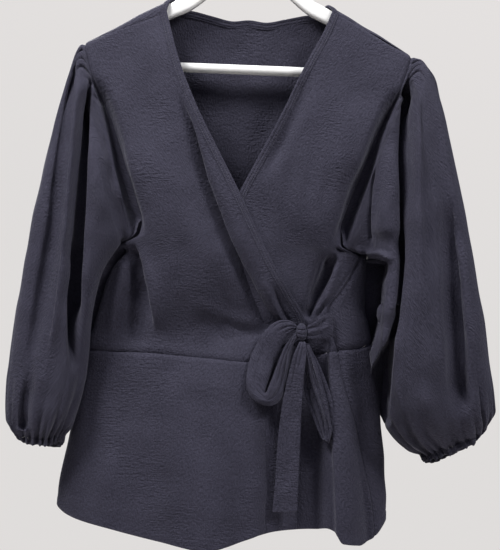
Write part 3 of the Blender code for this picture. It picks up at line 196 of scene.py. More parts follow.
# Hanger: the arm's middle line and section, from the middle to one end.
ARM = {
    "x": (0, 14, 30, 48, 72, 100, 140, 166.7, 167, 179, 179.3, 194, 199),
    "top": (46, 49, 60, 78, 100.3, 115.0, 135.8, 150.3, 150.5, 157.2, 157.4, 166.2, 172),
    "bottom": (78, 80, 88, 102, 121, 134.5, 155.3, 169.3, 202, 202, 176.4, 184.6, 182),
}
ARM_THICK = 13.5
ARM_CORNER = 4.5
BAR_R = 6.0
BAR_DOWN = 192.5
HOOK_WIRE_R = 1.8
HOOK_R = 20.0
# Bow and ties: each ribbon is a row of stations, with the ribbon's two edges seen from the front and how
# far it stands in front of the hanger ("out").
TIE_STRAP = {
    "ax": (116.0, 111, 103, 95, 87.7),
    "ad": (488.5, 489.5, 495, 501, 505.5),
    "bx": (118.5, 113, 104, 96, 87.7),
    "bd": (518, 519.5, 521, 522, 522.5),
    "out": (25.7, 27.6, 31.5, 36.5, 40.5),
}
LOOP_LEFT = {
    "ax": (73, 64, 49, 35, 24, 17, 14, 17.5, 27, 43, 56, 63.5, 66, 69, 73),
    "ad": (505, 500.5, 502, 514, 533, 553, 575, 591, 602, 607, 600, 585, 561, 537, 520),
    "bx": (73, 67.5, 62.5, 58, 53.5, 49, 44.5, 41, 38.5, 39.5, 43.5, 48.5, 55, 62, 73),
    "bd": (511.5, 514, 520, 528, 540, 552, 565, 577, 588, 590, 578, 564, 545, 529, 514.5),
    "off": (3.6, 3.4, 3.4, 3.4, 3.4, 3.6, 4, 5, 7, 10, 11.5, 12, 12, 11, 10),
}
LOOP_RIGHT = {
    "ax": (82, 84, 85, 86, 90, 97, 104, 110, 114, 117, 116, 108, 99, 90, 84),
    "ad": (528.5, 548, 566, 584, 601, 616, 632, 644, 648, 645, 634, 612, 588, 562, 533),
    "bx": (90, 96, 105, 113, 120, 124, 125, 122, 117, 119, 121, 117, 110, 101, 90),
    "bd": (528.5, 540, 556, 574, 592, 610, 626, 640, 650, 646, 632, 606, 582, 556, 530),
    "off": (5, 4.5, 4, 3.5, 3.4, 3.4, 3.6, 4.8, 7.5, 10.5, 12, 12.5, 12, 11.5, 10),
}
TAIL_FRONT = {
    "ax": (77.4, 76.4, 72, 68, 64, 60, 57, 55.5, 55, 54, 53),
    "ad": (526.5, 530, 540, 556, 578, 602, 632, 662, 690, 714, 737),
    "bx": (85.4, 86.2, 87, 86, 84.5, 83.5, 83, 83, 83, 83, 83.5),
    "bd": (526.5, 530, 540, 556, 578, 602, 632, 662, 690, 714, 735),
    "out": (43.2, 45.4, 47.2, 48.4, 48.8, 49, 49.2, 49.8, 50.8, 52, 53),
}
TAIL_BACK = {
    "ax": (74.5, 68, 64, 61, 58.5, 58, 58, 58.5),
    "ad": (525.9, 542, 560, 584, 612, 646, 680, 706),
    "bx": (81.2, 82.6, 84, 84.5, 84, 84, 84, 84.5),
    "bd": (525.9, 542, 560, 584, 612, 646, 680, 703),
    "out": (38.8, 37, 36.6, 37, 38.6, 41.5, 44.6, 47),
}
TIE_FLOOR = 33.0  # ties bridge hollows shallower than this
KNOT = {"left": 73.0, "right": 87.0, "top": 503.5, "bottom": 525.5, "out": 39.7, "half_deep": 6.5}
BACK_CORNER_X = (-99.5, -95.5, -90.0, -80.0)  # columns of the back where the neck edge crosses the hanger
FRONT_EXTRA = (0.5, 1.0)  # rows added where the cloth bends over the hanger
BACK_EXTRA = (-0.66, -0.33, 0.0, 6.0, 12.0, 18.0)
SIDE_ROWS = 6  # rows of a bodice below the underarm
SHIFT = (math.pi / 2 - 1) * CREST_R  # nominal level less real level, well below the shoulder line
PEPLUM_ROWS = 9
OVER_COLUMNS = np.linspace(0, 1, 22) ** 1.1  # a front's columns, as shares of its width
UNDER_COLUMNS = np.linspace(0, 1, 20) ** 1.3

# ---------------------------------------------------------------- finer creases
# As the folds above, and added to them.
OVER_CREASES = (
    ("valley_filled", 15, 5.5, (0.4, 0.1), (-118, 190, -78, 300, -30, 410, 30, 505)),
    ("edge_valley", (8, 3.2), -7.5, (0.3, 0.02), (-92, 205, -70, 257, -47, 330, -19, 398, 12.8, 458, 30, 489,
     48, 510)),
    ("edge_line", (3.4, 2.4), -8, (0.2, 0.02), (-88, 215, -69, 257, -46, 330, -18, 398, 13.8, 458, 31, 489,
     49, 510)),
    ("edge_roll", (5, 10), 3, (0.35, 0.05), (-82, 215, -60, 257, -37, 325, -9, 390, 24, 452, 50, 500)),
    ("knot_pleat_1", (6, 3), -5.5, (0.4, 0.02), (0, 428, 22, 470, 52, 506)),
    ("knot_pleat_2", (3, 3), -3.5, (0.4, 0.05), (38, 446, 54, 488, 66, 508)),
    ("knot_pleat_3", 4.5, 4, (0.4, 0.05), (26, 442, 46, 484, 62, 508)),
    ("knot_pull_1", 9, -3, (0.6, 0.1), (-60, 500, -10, 516, 44, 518)),
    ("knot_pull_2", 8, 2.6, (0.6, 0.2), (-80, 470, -20, 496, 34, 510)),
    ("dart_edge", (9, 2.8), -16, (0.12, 0.5), (-133, 412, -125, 440, -121, 460, -114, 483, -106, 507, -101,
     532)),
    ("dart_hollow", (13, 11), -5, (0.3, 0.2), (-128, 455, -122, 495, -118, 545)),
    ("dart_lip", (3, 9), 2.5, (0.2, 0.3), (-119, 430, -108, 476, -98, 530)),
    ("underarm_line", (6, 4), -13, (0.08, 0.1), (-140, 416, -147, 425, -161, 443, -168, 461, -173.5, 485,
     -180, 509, -185, 530)),
    ("side_strip", (9, 5), 3.5, (0.12, 0.2), (-140, 432, -148, 480, -156, 530)),
    ("shoulder_soft", 16, 3, (0.3, 0.3), (-165, 200, -140, 280, -128, 380)),
    ("chest_soft", 14, -2.4, (0.3, 0.4), (-134, 170, -116, 240, -110, 330)),
    ("bust_fall_1", 12, -3, (0.4, 0.3), (-88, 330, -74, 430, -62, 540)),
    ("bust_fall_2", 14, 2.4, (0.4, 0.3), (-56, 350, -44, 450, -34, 545)),
    ("bust_fall_3", 10, -2.4, (0.4, 0.3), (-30, 420, -18, 480, -10, 548)),
    ("skirt_1", 12, 2.4, (0.4, 0.1), (-186, 560, -190, 650, -196, 750)),
    ("skirt_2", 15, -3, (0.4, 0), (-128, 556, -132, 660, -136, 770)),
    ("skirt_3", 16, 2.4, (0.5, 0), (-66, 556, -66, 660, -66, 785)),
    ("skirt_4", 14, -3, (0.4, 0), (4, 560, 8, 660, 12, 780)),
    ("trough_left", (20, 5), -9, (0.25, 0), (41, 513, 47, 600, 56, 687, 63, 780)),
    ("waist_pull", 16, -2, (0.2, 0.6), (-100, 556, -60, 590, -40, 640)),
)
UNDER_CREASES = (
    ("roll_edge", (7, 10), -3.5, (0.3, 0.3), (78, 196, 50, 268, 18, 338)),
    ("armhole_crease", (10, 5), -7, (0.35, 0.1), (150, 300, 138, 354, 128, 404, 121, 422)),
    ("side_seam", (3.2, 1.6), -4.5, (0.1, 0.15), (147, 427, 132, 449, 117.6, 471, 105, 486, 94, 500)),
    ("armhole_soft", 13, 3.2, (0.4, 0.4), (172, 210, 146, 276, 124, 340)),
    ("fall_1", 11, -4, (0.4, 0.4), (114, 230, 105, 320, 98, 400)),
    ("fall_2", 11, 3, (0.4, 0.4), (84, 250, 72, 340, 72, 430)),
    ("fall_3", 9, -3, (0.4, 0.4), (62, 290, 52, 370, 62, 450)),
    ("tuck_1", (8, 2.8), -13, (0.2, 0.1), (119, 414, 110, 442, 98, 470, 86, 500)),
    ("tuck_2", (5, 3), -4, (0.4, 0.2), (104, 410, 97, 440, 86, 480)),
    ("tuck_3", 4, 3.5, (0.3, 0.2), (124, 420, 116, 450, 104, 484)),
    ("shoulder_dip", 16, -2.6, (0.3, 0.4), (128, 150, 132, 200, 140, 250)),
    ("trough_floor", (9, 12), -9, (0.25, 0), (100, 530, 101, 620, 104, 700, 108, 780)),
    ("flute_edge", (3.2, 11), 9, (0.12, 0), (115, 512, 120, 562, 125, 625, 130, 690, 137, 780)),
    ("flute_back", 9, -4.5, (0.4, 0), (150, 540, 160, 620, 170, 700, 178, 770)),
    ("strap_pull", 7, -4, (0.2, 0.4), (118, 522, 104, 540, 94, 560)),
)
BACK_CREASES = (
    ("nape_1", 10, -2, (0.4, 0.4), (-52, 190, -44, 300, -50, 420)),
    ("nape_2", 10, -2.4, (0.4, 0.4), (46, 200, 40, 310, 48, 430)),
    ("blade_left", 10, -2.6, (0.3, 0.4), (-158, 230, -126, 330, -118, 440)),
    ("blade_right", 10, -3, (0.3, 0.4), (162, 236, 130, 336, 116, 440)),
    ("waist_1", 8, -1.8, (0.4, 0.4), (-96, 470, -60, 500, -20, 512)),
    ("waist_2", 8, -2, (0.4, 0.4), (98, 460, 60, 496, 16, 508)),
    ("waist_3", 7, -2.2, (0.3, 0.4), (130, 440, 100, 480, 84, 520)),
    ("skirt_a", 12, -3, (0.5, 0), (-160, 560, -166, 660, -174, 745)),
    ("skirt_b", 10, 2, (0.5, 0), (-100, 560, -106, 660, -112, 745)),
    ("skirt_c", 10, -2.2, (0.5, 0), (20, 570, 20, 660, 20, 745)),
    ("skirt_d", 12, -2.8, (0.5, 0), (150, 560, 158, 660, 166, 745)),
)
SLEEVE_LEFT_CREASES = (
    ("deep_line", 2.3, -30, (0.12, 0.22), (-192, 206, -195, 256, -196.6, 311, -198.5, 387, -201.2, 472,
     -200.8, 530, -196, 585), 4, 2.4),
    ("strip_edge", (18, 2.4), -9, (0.08, 0.3), (-211, 181, -216, 214, -217, 288, -219, 362, -224, 440, -231,
     524, -240, 599)),
    ("cuff_line", (7, 2.5), -3.5, (0.5, 0.05), (-242, 560, -250, 610, -256, 650)),
    ("seam_pleat", (2, 3.4), -2.6, (0.3, 0.2), (-152, 352, -144, 380, -137, 402)),
    ("panel_1", 8, 2.5, (0.3, 0.3), (-186, 270, -180, 340, -172, 400)),
    ("panel_2", 6, -2, (0.3, 0.3), (-164, 300, -160, 360, -152, 400)),
    ("panel_3", 6, 2.4, (0.3, 0.3), (-186, 410, -187, 470, -188, 530)),
    ("low_1", 8, -2.4, (0.4, 0.2), (-214, 480, -220, 550, -226, 630)),
    ("low_2", 7, 2.4, (0.4, 0.2), (-202, 540, -206, 590, -214, 640)),
    ("outer_1", 9, 2, (0.3, 0.3), (-238, 300, -252, 400, -264, 500, -270, 590)),
)
SLEEVE_RIGHT_CREASES = (
    ("deep_line", 2.9, -27, (0.1, 0.1), (197, 186, 194, 246, 194, 284, 196.5, 363, 200, 420, 199, 443, 197.6,
     470, 195, 495, 190, 525), 4, 0),
    ("deep_top", 5, -14, (0.2, 0.4), (198, 195, 194, 250, 194, 290, 196, 340)),
    ("strip_far", (5, 12), -4, (0.15, 0.4), (214, 191, 219, 250, 223, 295, 231, 394, 244, 492)),
    ("outer_line", (20, 6), -17, (0.35, 0.15), (248, 320, 265, 380, 272, 467, 281, 553, 288, 615)),
    ("ledge", (3.5, 3.5), 7.5, (0.25, 0.2), (138, 409, 158, 413, 176, 415, 190, 423)),
    ("seam_line", (1.8, 2.4), -4.2, (0.2, 0.1), (166, 300, 160, 332, 159, 370, 161, 404)),
    ("inner_full", 14, 8, (0.25, 0.1), (184, 215, 180, 320, 178, 400)),
    ("strip_full", 5, 6, (0.3, 0.3), (192, 400, 191, 450, 187, 510)),
    ("inner_strip", 5, 4, (0.2, 0.3), (187, 430, 186, 480, 179, 535)),
    ("mid_1", 9, 3, (0.3, 0.2), (236, 300, 246, 400, 256, 500, 262, 600)),
    ("mid_2", 9, -3, (0.4, 0.2), (218, 400, 224, 500, 236, 600)),
    ("far_1", 8, 2.6, (0.4, 0.2), (288, 430, 299, 510, 306, 590)),
    ("low_1", 6, -3.4, (0.4, 0.1), (204, 560, 212, 610, 226, 650)),
)
# Hollows of the right sleeve's front, between two edges: the cloth there falls back behind the body's side.
VOIDS = (
    {"down": (419, 424, 443, 471, 496, 527, 545), "from": (90, 90, 90, 90, 90, 90, 90),
     "to": (160, 184, 185.5, 182, 177, 169.5, 163), "floor": 20, "left": 18, "soft": 6, "edge": 3.0},
    {"down": (470, 490, 510, 533, 560, 600, 660), "from": (194, 190.5, 186, 177, 165, 150, 150),
     "to": (199.5, 198.5, 197, 196, 194, 193, 188), "floor": 18, "left": 4, "soft": 50, "edge": 6.0},
)
# Gathers. "turn" is the place round the ring in degrees: 0 at its outer end, 90 in front, 180 at its inner end.
HEAD_PLEATS = {
    "turn": (8, 19, 29, 41, 54, 68, 84, -6, -18, -31, -45, -60, -77),
    "deep": (2.6, 2.2, 3.0, 2.0, 2.4, 1.6, 1.4, 2.4, 2.0, 2.6, 2.2, 1.8, 1.4),
    "wide": (3.2, 2.6, 3.4, 2.8, 3.6, 3.0, 3.2, 2.8, 3.0, 3.4, 3.0, 3.4, 3.6),
    "long": (20, 14, 26, 15, 22, 14, 12, 20, 15, 26, 18, 22, 14),
}
CUFF_PLEATS = {
    "turn": (
        4, 16, 27, 40, 51, 63, 76, 87, 99, 112, 124, 137, 149, 161, 174, 188, 202, 217, 231, 246, 260, 275,
        289, 304, 319, 333, 347,
    ),
    "deep": (
        2.6, 3.2, 2.2, 3.6, 2.6, 3.4, 2.4, 3.8, 2.8, 3.2, 2.2, 3.6, 2.6, 3.0, 2.4, 3.2, 2.6, 3.4, 2.4, 3.2,
        2.8, 3.6, 2.2, 3.0, 2.6, 3.4, 2.4,
    ),
    "wide": (
        3.6, 4.4, 3.2, 4.8, 3.4, 4.2, 3.2, 5.0, 3.8, 4.2, 3.0, 4.6, 3.6, 4.0, 3.4, 4.4, 3.6, 4.6, 3.4, 4.2,
        3.8, 4.8, 3.2, 4.2, 3.6, 4.4, 3.4,
    ),
    "long": (
        34, 62, 26, 84, 40, 56, 30, 92, 44, 60, 28, 76, 36, 50, 30, 66, 38, 74, 32, 58, 42, 80, 28, 52, 36,
        64, 32,
    ),
}
CLOTH_FINE = 1.0  # the shown cloth's wall
CLOTH_SHARP, TIPPED_SHARP = 50, 45  # degrees over which an edge is hard
STITCH_LONG, STITCH_EVERY, STITCH_R = 2.1, 3.0, 0.26
# Along it, share of its radius.
STITCH_SHAPE = ((-0.5, 0.35), (-0.34, 0.9), (0.0, 1.0), (0.34, 0.9), (0.5, 0.35))
SLEEVE_STEPS = 11  # fine rings to one of the table's
SLEEVE_COLUMNS = 240
SLEEVE_JOIN = 3.0  # rings over which a sleeve bends off from its seam
FOLD_SPAN = 17.0  # degrees either side of a sleeve's deep fold where its columns are close together
# Shares of the columns at the outer end, the fold and the inner end.
FOLD_SHARES = (0, 0.16, 0.29, 0.43, 0.66, 1)
FRONT_DENSE, BACK_DENSE, SKIRT_DENSE = (8, 8), (7, 4), (10, 6)  # fine rows and columns to one of the grid's
GRAIN_TILT = {"left": 35.0, "right": -30.0}  # degrees that the sleeves' grain leans
UNEVEN = 0.45
WAVES, WAVE_LONG = 16, (22, 95)  # of the unevenness: their number and shortest and longest
SEAM_DIP, SEAM_DIP_WIDE = 2.2, 1.9
TOP_SEAM_DIP = 0.6  # at a shoulder or back neck
CREASE_CLEAR = 12  # how far from a seam the creases have their full depth
REAR_ARMHOLE = 0.25  # of the dip, on the back
REAR_CREASES = 0.05  # of the front's creases, on a sleeve's back
ARMHOLE_DIP = (18.0, 4.0, 9.5)  # depth, and reach on the sleeve's side and on the bodice's
# How far the sleeve stands out beside that dip, at what distance and how widely.
ARMHOLE_PUFF = (3.0, 15.0, 13.0)
ARMHOLE_DIP_SPAN = (205, 380)  # levels where it begins and ends
HEM_WIDE = 10.0
HEM_EXTRA = 0.8
LIP = 0.8  # how far a rounded rim stands out, as a share of half the wall
HEM_LINE = 0.35  # depth of the hem's stitched line
CUFF_PROFILE = (  # along the casing against how far it is drawn in
    (0.3, 0.0), (0.9, 0.5), (1.5, 0.75), (2.4, 0.4), (3.6, 0.7), (4.8, 0.9), (6.0, 0.7), (7.0, 0.5),
    (7.6, 0.9), (8.3, 0.6), (9.0, 0.9),
)
CUFF_THICK = ((0, 1.5, 8, 9), (1.2, 1.9, 1.9, 1.4))  # along the casing, thickness
CUFF_WAVES = (27, 38, 51, 66)  # puckers round it
# Height over which the sleeve's ends are drawn in, the share and how far they rise.
CUFF_DRAWN = (26, 0.08, 9.0)
BAND_WALL_FINE = 0.7
BAND_CLEAR = 0.12  # between the binding's wall and the cloth
BAND_OVER_FINE = 0.9
BAND_TIMES = 6
BAND_STEP = 1.6
BAND_AT = (0.0, 1.0, 1.9, 2.6, 3.3, 4.5, 5.6, 6.3, 7.0, 7.8)  # distances in from the cloth's edge
BAND_LIFT = (0.0, 0.15, 0.1, -0.45, 0.1, 0.25, 0.1, -0.45, 0.05, -0.15)
BAND_STITCHES = (2.6, 6.3)
RIBBON_TIMES = (10, 8)  # fine rows and columns to one of a ribbon's
TIE_THICK = 1.9
KNOT_GROOVES = ((-0.22, 0.035, 0.16), (0.02, 0.03, 0.12), (0.24, 0.04, 0.18), (0.40, 0.03, 0.10))
TIES = (  # name, table, furrows, cup, lift, seed
    ("tie_strap", TIE_STRAP,
     ((0.3, 0.07, -1.6, 0.3, 1.2), (0.55, 0.08, 1.2, 0.2, 1.2), (0.78, 0.06, -1.4, 0.45, 1.2)),
     0.3, 0.0, 31),
    ("bow_loop_left", LOOP_LEFT,
     ((0.2, 0.06, -1.2, -0.2, 0.22), (0.5, 0.07, -1.6, -0.2, 0.2), (0.78, 0.06, -1.2, -0.2, 0.18),
      (0.35, 0.1, -1.0, 0.25, 0.5), (0.4, 0.08, -1.6, 0.6, 1.2), (0.7, 0.08, -1.4, 0.7, 1.2)),
     -3.2, 4.0, 33),
    ("bow_loop_right", LOOP_RIGHT,
     ((0.2, 0.05, -2.4, 0.05, 0.6), (0.44, 0.05, -1.6, 0.0, 0.5), (0.7, 0.05, -2.2, 0.1, 0.55),
      (0.26, 0.05, -2.8, 0.55, 1.2), (0.5, 0.05, -2.2, 0.6, 1.2), (0.74, 0.05, -2.8, 0.58, 1.2)),
     -1.5, 3.0, 35),
    ("tie_tail_front", TAIL_FRONT,
     ((0.3, 0.08, -1.4, -0.2, 0.45), (0.62, 0.09, -1.2, -0.2, 0.35), (0.55, 0.12, -0.7, 0.3, 0.9)),
     0.3, 0.0, 37),
    ("tie_tail_back", TAIL_BACK, ((0.4, 0.1, -0.8, -0.2, 0.7),), 0.2, 0.0, 39),
)
# How the hollow's floor falls to its edge, and how far that edge overhangs.
VOID_SLOPE, VOID_UNDERCUT = 24.0, 2.5
REAR_CLEAR = 3.0  # how much deeper the sleeve's back gives way
BODY_LAP = 5  # how far the sleeve's back laps over the body
CREPE_DARK, CREPE_LIGHT = (0.025, 0.0238, 0.037), (0.047, 0.0447, 0.067)
LACQUER = ((0.80, 0.79, 0.77), (0.88, 0.875, 0.86))
STEEL = ((0.55, 0.55, 0.56), (0.68, 0.68, 0.69))
FLOOR_PAINT = ((0.60, 0.575, 0.54), (0.63, 0.605, 0.57))
FLOOR_LEVEL, FLOOR_R = -1.5, 2.6
LAMP_AIM = (0, 0, -0.4)
ROOM_SLOPE = (0.25, 0.0, 1.0)
ROOM_DARK, ROOM_LIGHT = (0.74, 0.72, 0.71), (0.88, 0.84, 0.84)
ROOM_LOW, ROOM_HIGH = 0.01, 0.5  # how strongly the room lights the garment from below and from overhead
ROOM_SHADE = (0.74, 0.76, 0.96)  # the colour of the room's light on the garment
LAMPS = (  # name, place, size across, watts
    ("key", (-1.0, -0.8, 1.1), 0.7, 52),
    ("side", (1.35, -0.9, 1.1), 0.7, 36),
    ("rear", (-0.9, 2.0, 1.1), 1.2, 120),
)
# Metres, metres across the view at the hanger, degrees.
CAMERA_FAR, CAMERA_WIDE, CAMERA_ROLL = 1.65, 0.62, 2.3


# ---------------------------------------------------------------- curves and folds
def smooth(xs, ys, at):
    """A curve through the points (xs, ys), with no overshoot, read at the given places."""
    xs, ys, at = np.asarray(xs, float), np.asarray(ys, float), np.asarray(at, float)
    steps = np.diff(ys) / np.diff(xs)
    slopes = np.zeros(len(xs))
    same_sign = steps[1:] * steps[:-1] > 0
    mean = 2 * steps[1:] * steps[:-1] / np.where(same_sign, steps[1:] + steps[:-1], 1)
    slopes[1:-1] = np.where(same_sign, mean, 0)
    slopes[0], slopes[-1] = steps[0], steps[-1]
    at = np.clip(at, xs[0], xs[-1])
    i = np.clip(np.searchsorted(xs, at) - 1, 0, len(xs) - 2)
    width = xs[i + 1] - xs[i]
    t = (at - xs[i]) / width
    return (
        (2 * t**3 - 3 * t**2 + 1) * ys[i]
        + (t**3 - 2 * t**2 + t) * width * slopes[i]
        + (3 * t**2 - 2 * t**3) * ys[i + 1]
        + (t**3 - t**2) * width * slopes[i + 1]
    )


def read(table, column, at):
    """A table's column as a curve over its first column."""
    return smooth(next(iter(table.values())), table[column], at)


def ramp(t):
    """A soft step: 0 up to t = 0, and 1 from t = 1."""
    t = np.clip(t, 0, 1)
    return t * t * (3 - 2 * t)


def bell(t, power=2):
    return np.exp(-(abs(t) ** power))


def unit(vectors):
    return vectors / np.maximum(np.linalg.norm(vectors, axis=-1, keepdims=True), 1e-9)


def run_of(points):
    """Distance run along a line of points."""
    return np.concatenate([[0], np.cumsum(np.linalg.norm(np.diff(points, axis=0), axis=1))])


def relief(folds, x, down):
    """How far the folds move the cloth out, at points of the front view."""
    total = np.zeros(np.shape(x))
    for _, half, out, (rise, die), path, *more in folds:
        power, grow = more or (2, 0)
        path = np.reshape(path, (-1, 2)).astype(float)
        lengths = np.hypot(*np.diff(path, axis=0).T)
        before = np.concatenate([[0], np.cumsum(lengths)])
        nearest = np.full(np.shape(x), 1e9)
        place = np.zeros(np.shape(x))
        for k, length in enumerate(lengths):
            step = (path[k + 1] - path[k]) / length
            t = np.clip((x - path[k, 0]) * step[0] + (down - path[k, 1]) * step[1], 0, length)
            gap = np.hypot(x - path[k, 0] - t * step[0], down - path[k, 1] - t * step[1])
            to_left = (down - path[k, 1]) * step[0] - (x - path[k, 0]) * step[1] > 0
            reach = (before[k] + t) / before[-1]
            gap = gap / np.where(to_left, *np.broadcast_to(half, 2)) / (1 + grow * reach)
            closer = gap < nearest
            nearest = np.where(closer, gap, nearest)
            place = np.where(closer, reach, place)
        share = ramp(place / rise) if rise else 1.0
        share = share * (ramp((1 - place) / die) if die else 1.0)
        total = total + out * share * bell(nearest, power)
    return total


def uneven(x, down, seed, size):
    """The slight unevenness of hanging cloth: long low waves that run every way."""
    draw = np.random.default_rng(seed)
    total = np.zeros(np.shape(x))
    for _ in range(WAVES):
        length, way, start = draw.uniform(*WAVE_LONG), draw.uniform(0, math.pi), draw.uniform(0, 2 * math.pi)
        total += length * np.sin((x * math.cos(way) + down * math.sin(way)) * 2 * math.pi / length + start)
    return size * total / (10 * WAVES)


# ---------------------------------------------------------------- the torso's surface, as in the solids
def crest_down(x):
    """The shoulder line, where the cloth bends over the hanger."""
    slope = np.where(abs(x) > NECK_X, SHOULDER_SLOPE, NECK_RISE)
    return NECK_DOWN + slope * (abs(x) - NECK_X)


def nominal_down(x, down):
    """The level to ask torso() for so that the point comes out at the level down."""
    fall = np.maximum(down - crest_down(x), 0)
    bend = CREST_R * np.arccos(np.clip(1 - fall / CREST_R, 0, 1))
    return crest_down(x) + np.where(fall < CREST_R, bend, fall + SHIFT)


def ring_at(down):
    left, right = read(TORSO, "left", down), read(TORSO, "right", down)
    return (left + right) / 2, (right - left) / 2


def x_at(angle, level):
    middle, half = ring_at(level)
    return middle + half * np.cos(angle)


def angle_of(x, down, face):
    """The ring angle of a point: 0 at the right side, a quarter turn at the front, a half at the left."""
    middle, half = ring_at(down)
    turn = np.arccos(np.clip((x - middle) / half, -1, 1))
    return turn if face > 0 else 2 * math.pi - turn


def torso(angle, nominal, layer=""):
    """Points of the torso's cloth. nominal is the level reached if the cloth didn't bend over the hanger."""
    x = x_at(angle, nominal)
    face = np.where(np.sin(angle) >= 0, 1.0, -1.0)
    edge = abs(np.sin(angle))
    run = nominal - crest_down(x)
    face = np.where(run < 0, -face, face)
    run = abs(run)
    bend = np.clip(run / CREST_R, 0, math.pi / 2)
    fall = CREST_R * (1 - np.cos(bend)) + np.maximum(run - CREST_R * math.pi / 2, 0)
    covered = ramp((read(OVER_EDGE, "x", nominal - SHIFT) - x) / 40) * ramp((nominal - 330) / 50)
    folds = relief(TORSO_FOLDS, x, nominal) * (1 - 0.7 * covered if layer == "under" else 1)
    front = read(FULLNESS, "front", fall) + folds
    back = read(FULLNESS, "back", fall) + relief(BACK_FOLDS, x, nominal)
    loose = np.where(face > 0, front, back) * ramp(run / (2.5 * CREST_R))
    if layer == "over":
        loose = loose + LAYER * ramp((x + 152) / 60) * ramp((run - 20) / 50)
    if layer == "under":
        loose = loose - SINK * covered
    closing = 1 - (1 - edge) * ramp((nominal - 290) / 110)
    depth = closing * CREST_R * np.sin(bend) + edge * loose
    return np.stack([x, -face * depth, -(crest_down(x) + fall)], axis=-1)


def torso_patch(angle, nominal, layer=""):
    """Points and unit normals of a patch of the torso's cloth."""
    angle, nominal = np.asarray(angle, float), np.asarray(nominal, float)
    points = torso(angle, nominal, layer)
    turn = torso(angle + 0.01, nominal, layer) - torso(angle - 0.01, nominal, layer)
    fall = torso(angle, nominal + 1.0, layer) - torso(angle, nominal - 1.0, layer)
    normal = unit(np.cross(turn, fall))
    across, along = np.gradient(points, axis=1), np.gradient(points, axis=0)
    return points, normal * (-1 if np.mean(np.sum(np.cross(across, along) * normal, axis=-1)) < 0 else 1)


def front_depth(x, down):
    """How far in front of the hanger the upper wrap's cloth lies."""
    level = nominal_down(x, down)
    return -torso(angle_of(x, level, 1), level, "over")[..., 1]


def true_size(points):
    """The tables hold sizes as they look from VIEW_FROM. Cloth nearer than the hanger is really smaller."""
    points = np.array(points, float)
    share = 1 + np.minimum(points[..., 1] + CREST_R + 1, 0) / VIEW_FROM[1]
    points[..., 0] = VIEW_FROM[0] + (points[..., 0] - VIEW_FROM[0]) * share
    points[..., 2] = VIEW_FROM[2] + (points[..., 2] - VIEW_FROM[2]) * share
    return points


# ---------------------------------------------------------------- the panels' grids, as angles and levels
def quilt(outer, edge, columns, band=0.0):
    """Angles and levels of a panel's grid, from its two edges and the columns' shares of the way between.

    With a band, the last but one column lies that far in from the second edge.
    """
    angles, levels = [], []
    for (first_angle, first_level), (last_angle, last_level) in zip(outer, edge):
        shares = columns
        if band:
            width = abs(x_at(last_angle, last_level) - x_at(first_angle, first_level))
            shares = np.append(columns[:-1] / columns[-2] * (1 - band / width), 1.0)
        angle = first_angle + (last_angle - first_angle) * shares
        x = x_at(angle, first_level + (last_level - first_level) * shares)
        by_x = (x - x[0]) / (x[-1] - x[0]) if band else shares
        angles.append(angle)
        levels.append(first_level + (last_level - first_level) * by_x)
    return np.array(angles), np.array(levels)


def trimmed(angles, levels, layer=""):
    """Angles and levels of a grid drawn in at its four edges by half a seam gap, measured on the surface."""
    angles, levels = angles.copy(), levels.copy()
    whole = slice(None)
    columns = (((whole, 0), (whole, 1)), ((whole, -1), (whole, -2)))
    rows = (((0, whole), (1, whole)), ((-1, whole), (-2, whole)))
    for edge, inner in columns + rows:
        start = torso(angles, levels, layer)[edge]
        turn, fall = angles[inner] - angles[edge], levels[inner] - levels[edge]
        share = np.full(np.shape(turn), 0.02)
        for _ in range(3):
            moved = torso(angles[edge] + turn * share, levels[edge] + fall * share, layer)
            share = share * SEAM_GAP / 2 / np.maximum(np.linalg.norm(moved - start, axis=-1), 1e-4)
        angles[edge] += turn * share
        levels[edge] += fall * share
    return angles, levels


def spot(x, down, face=1):
    """(angle, level) of a point of the front view."""
    level = float(nominal_down(x, down))
    return float(angle_of(x, level, face)), level


def side_angle(down, side):
    """Ring angle of a side seam at a level."""
    if side == "left":
        return math.pi - math.radians(float(smooth(SIDE_SEAM["left_down"], SIDE_SEAM["left_turn"], down)))
    return float(angle_of(smooth(SIDE_SEAM["right_down"], SIDE_SEAM["right_x"], down), down + SHIFT, 1))


def side_rows(side, round_front=0.0):
    """Rows of a side seam, from just below the underarm to the waist."""
    end = ARMHOLE_FRONT[side + "_down"][-1]
    waist = float(read(WAIST, "down", WAIST_END[side]))
    levels = end + (waist - end) * np.linspace(0, 1, SIDE_ROWS + 1)[1:] ** 1.4
    return [(side_angle(float(down), side) + round_front, float(down) + SHIFT) for down in levels]


def waist_down(x, face):
    front = read(WAIST, "down", x)
    middle, half = ring_at(546.0)
    edge = np.clip(1 - ((x - middle) / half) ** 2, 0, 1)
    back = front + (WAIST_BACK_DOWN - front) * ramp(edge * 2)
    return np.where(np.asarray(face) > 0, front, back)


def waist_blend(angles, levels, target=None):
    """Bends the lowest rows of a bodice to the waist seam's curve, or to the levels given."""
    if target is None:
        face = np.where(np.sin(angles[-1]) >= 0, 1, -1)
        target = waist_down(x_at(angles[-1], levels[-1]), face) + SHIFT
    change = target - levels[-1]
    for r in range(len(levels)):
        levels[r] = levels[r] + change * ramp((r - (len(levels) - 1 - SIDE_ROWS)) / SIDE_ROWS)
    return levels


def edge_rows(edge, fractions):
    """(angle, level) of a neckline edge at shares of the way down it."""
    first, last = edge["down"][0], edge["down"][-1]
    downs = [first + (last - first) * share for share in fractions]
    return [spot(float(read(edge, "x", down)), down) for down in downs]


def shoulder_row(x):
    """(angle, level) on the shoulder seam, for the fronts."""
    level = float(crest_down(x) + read(SHOULDER_SEAM, "forward", x))
    return float(angle_of(x, level, 1)), level


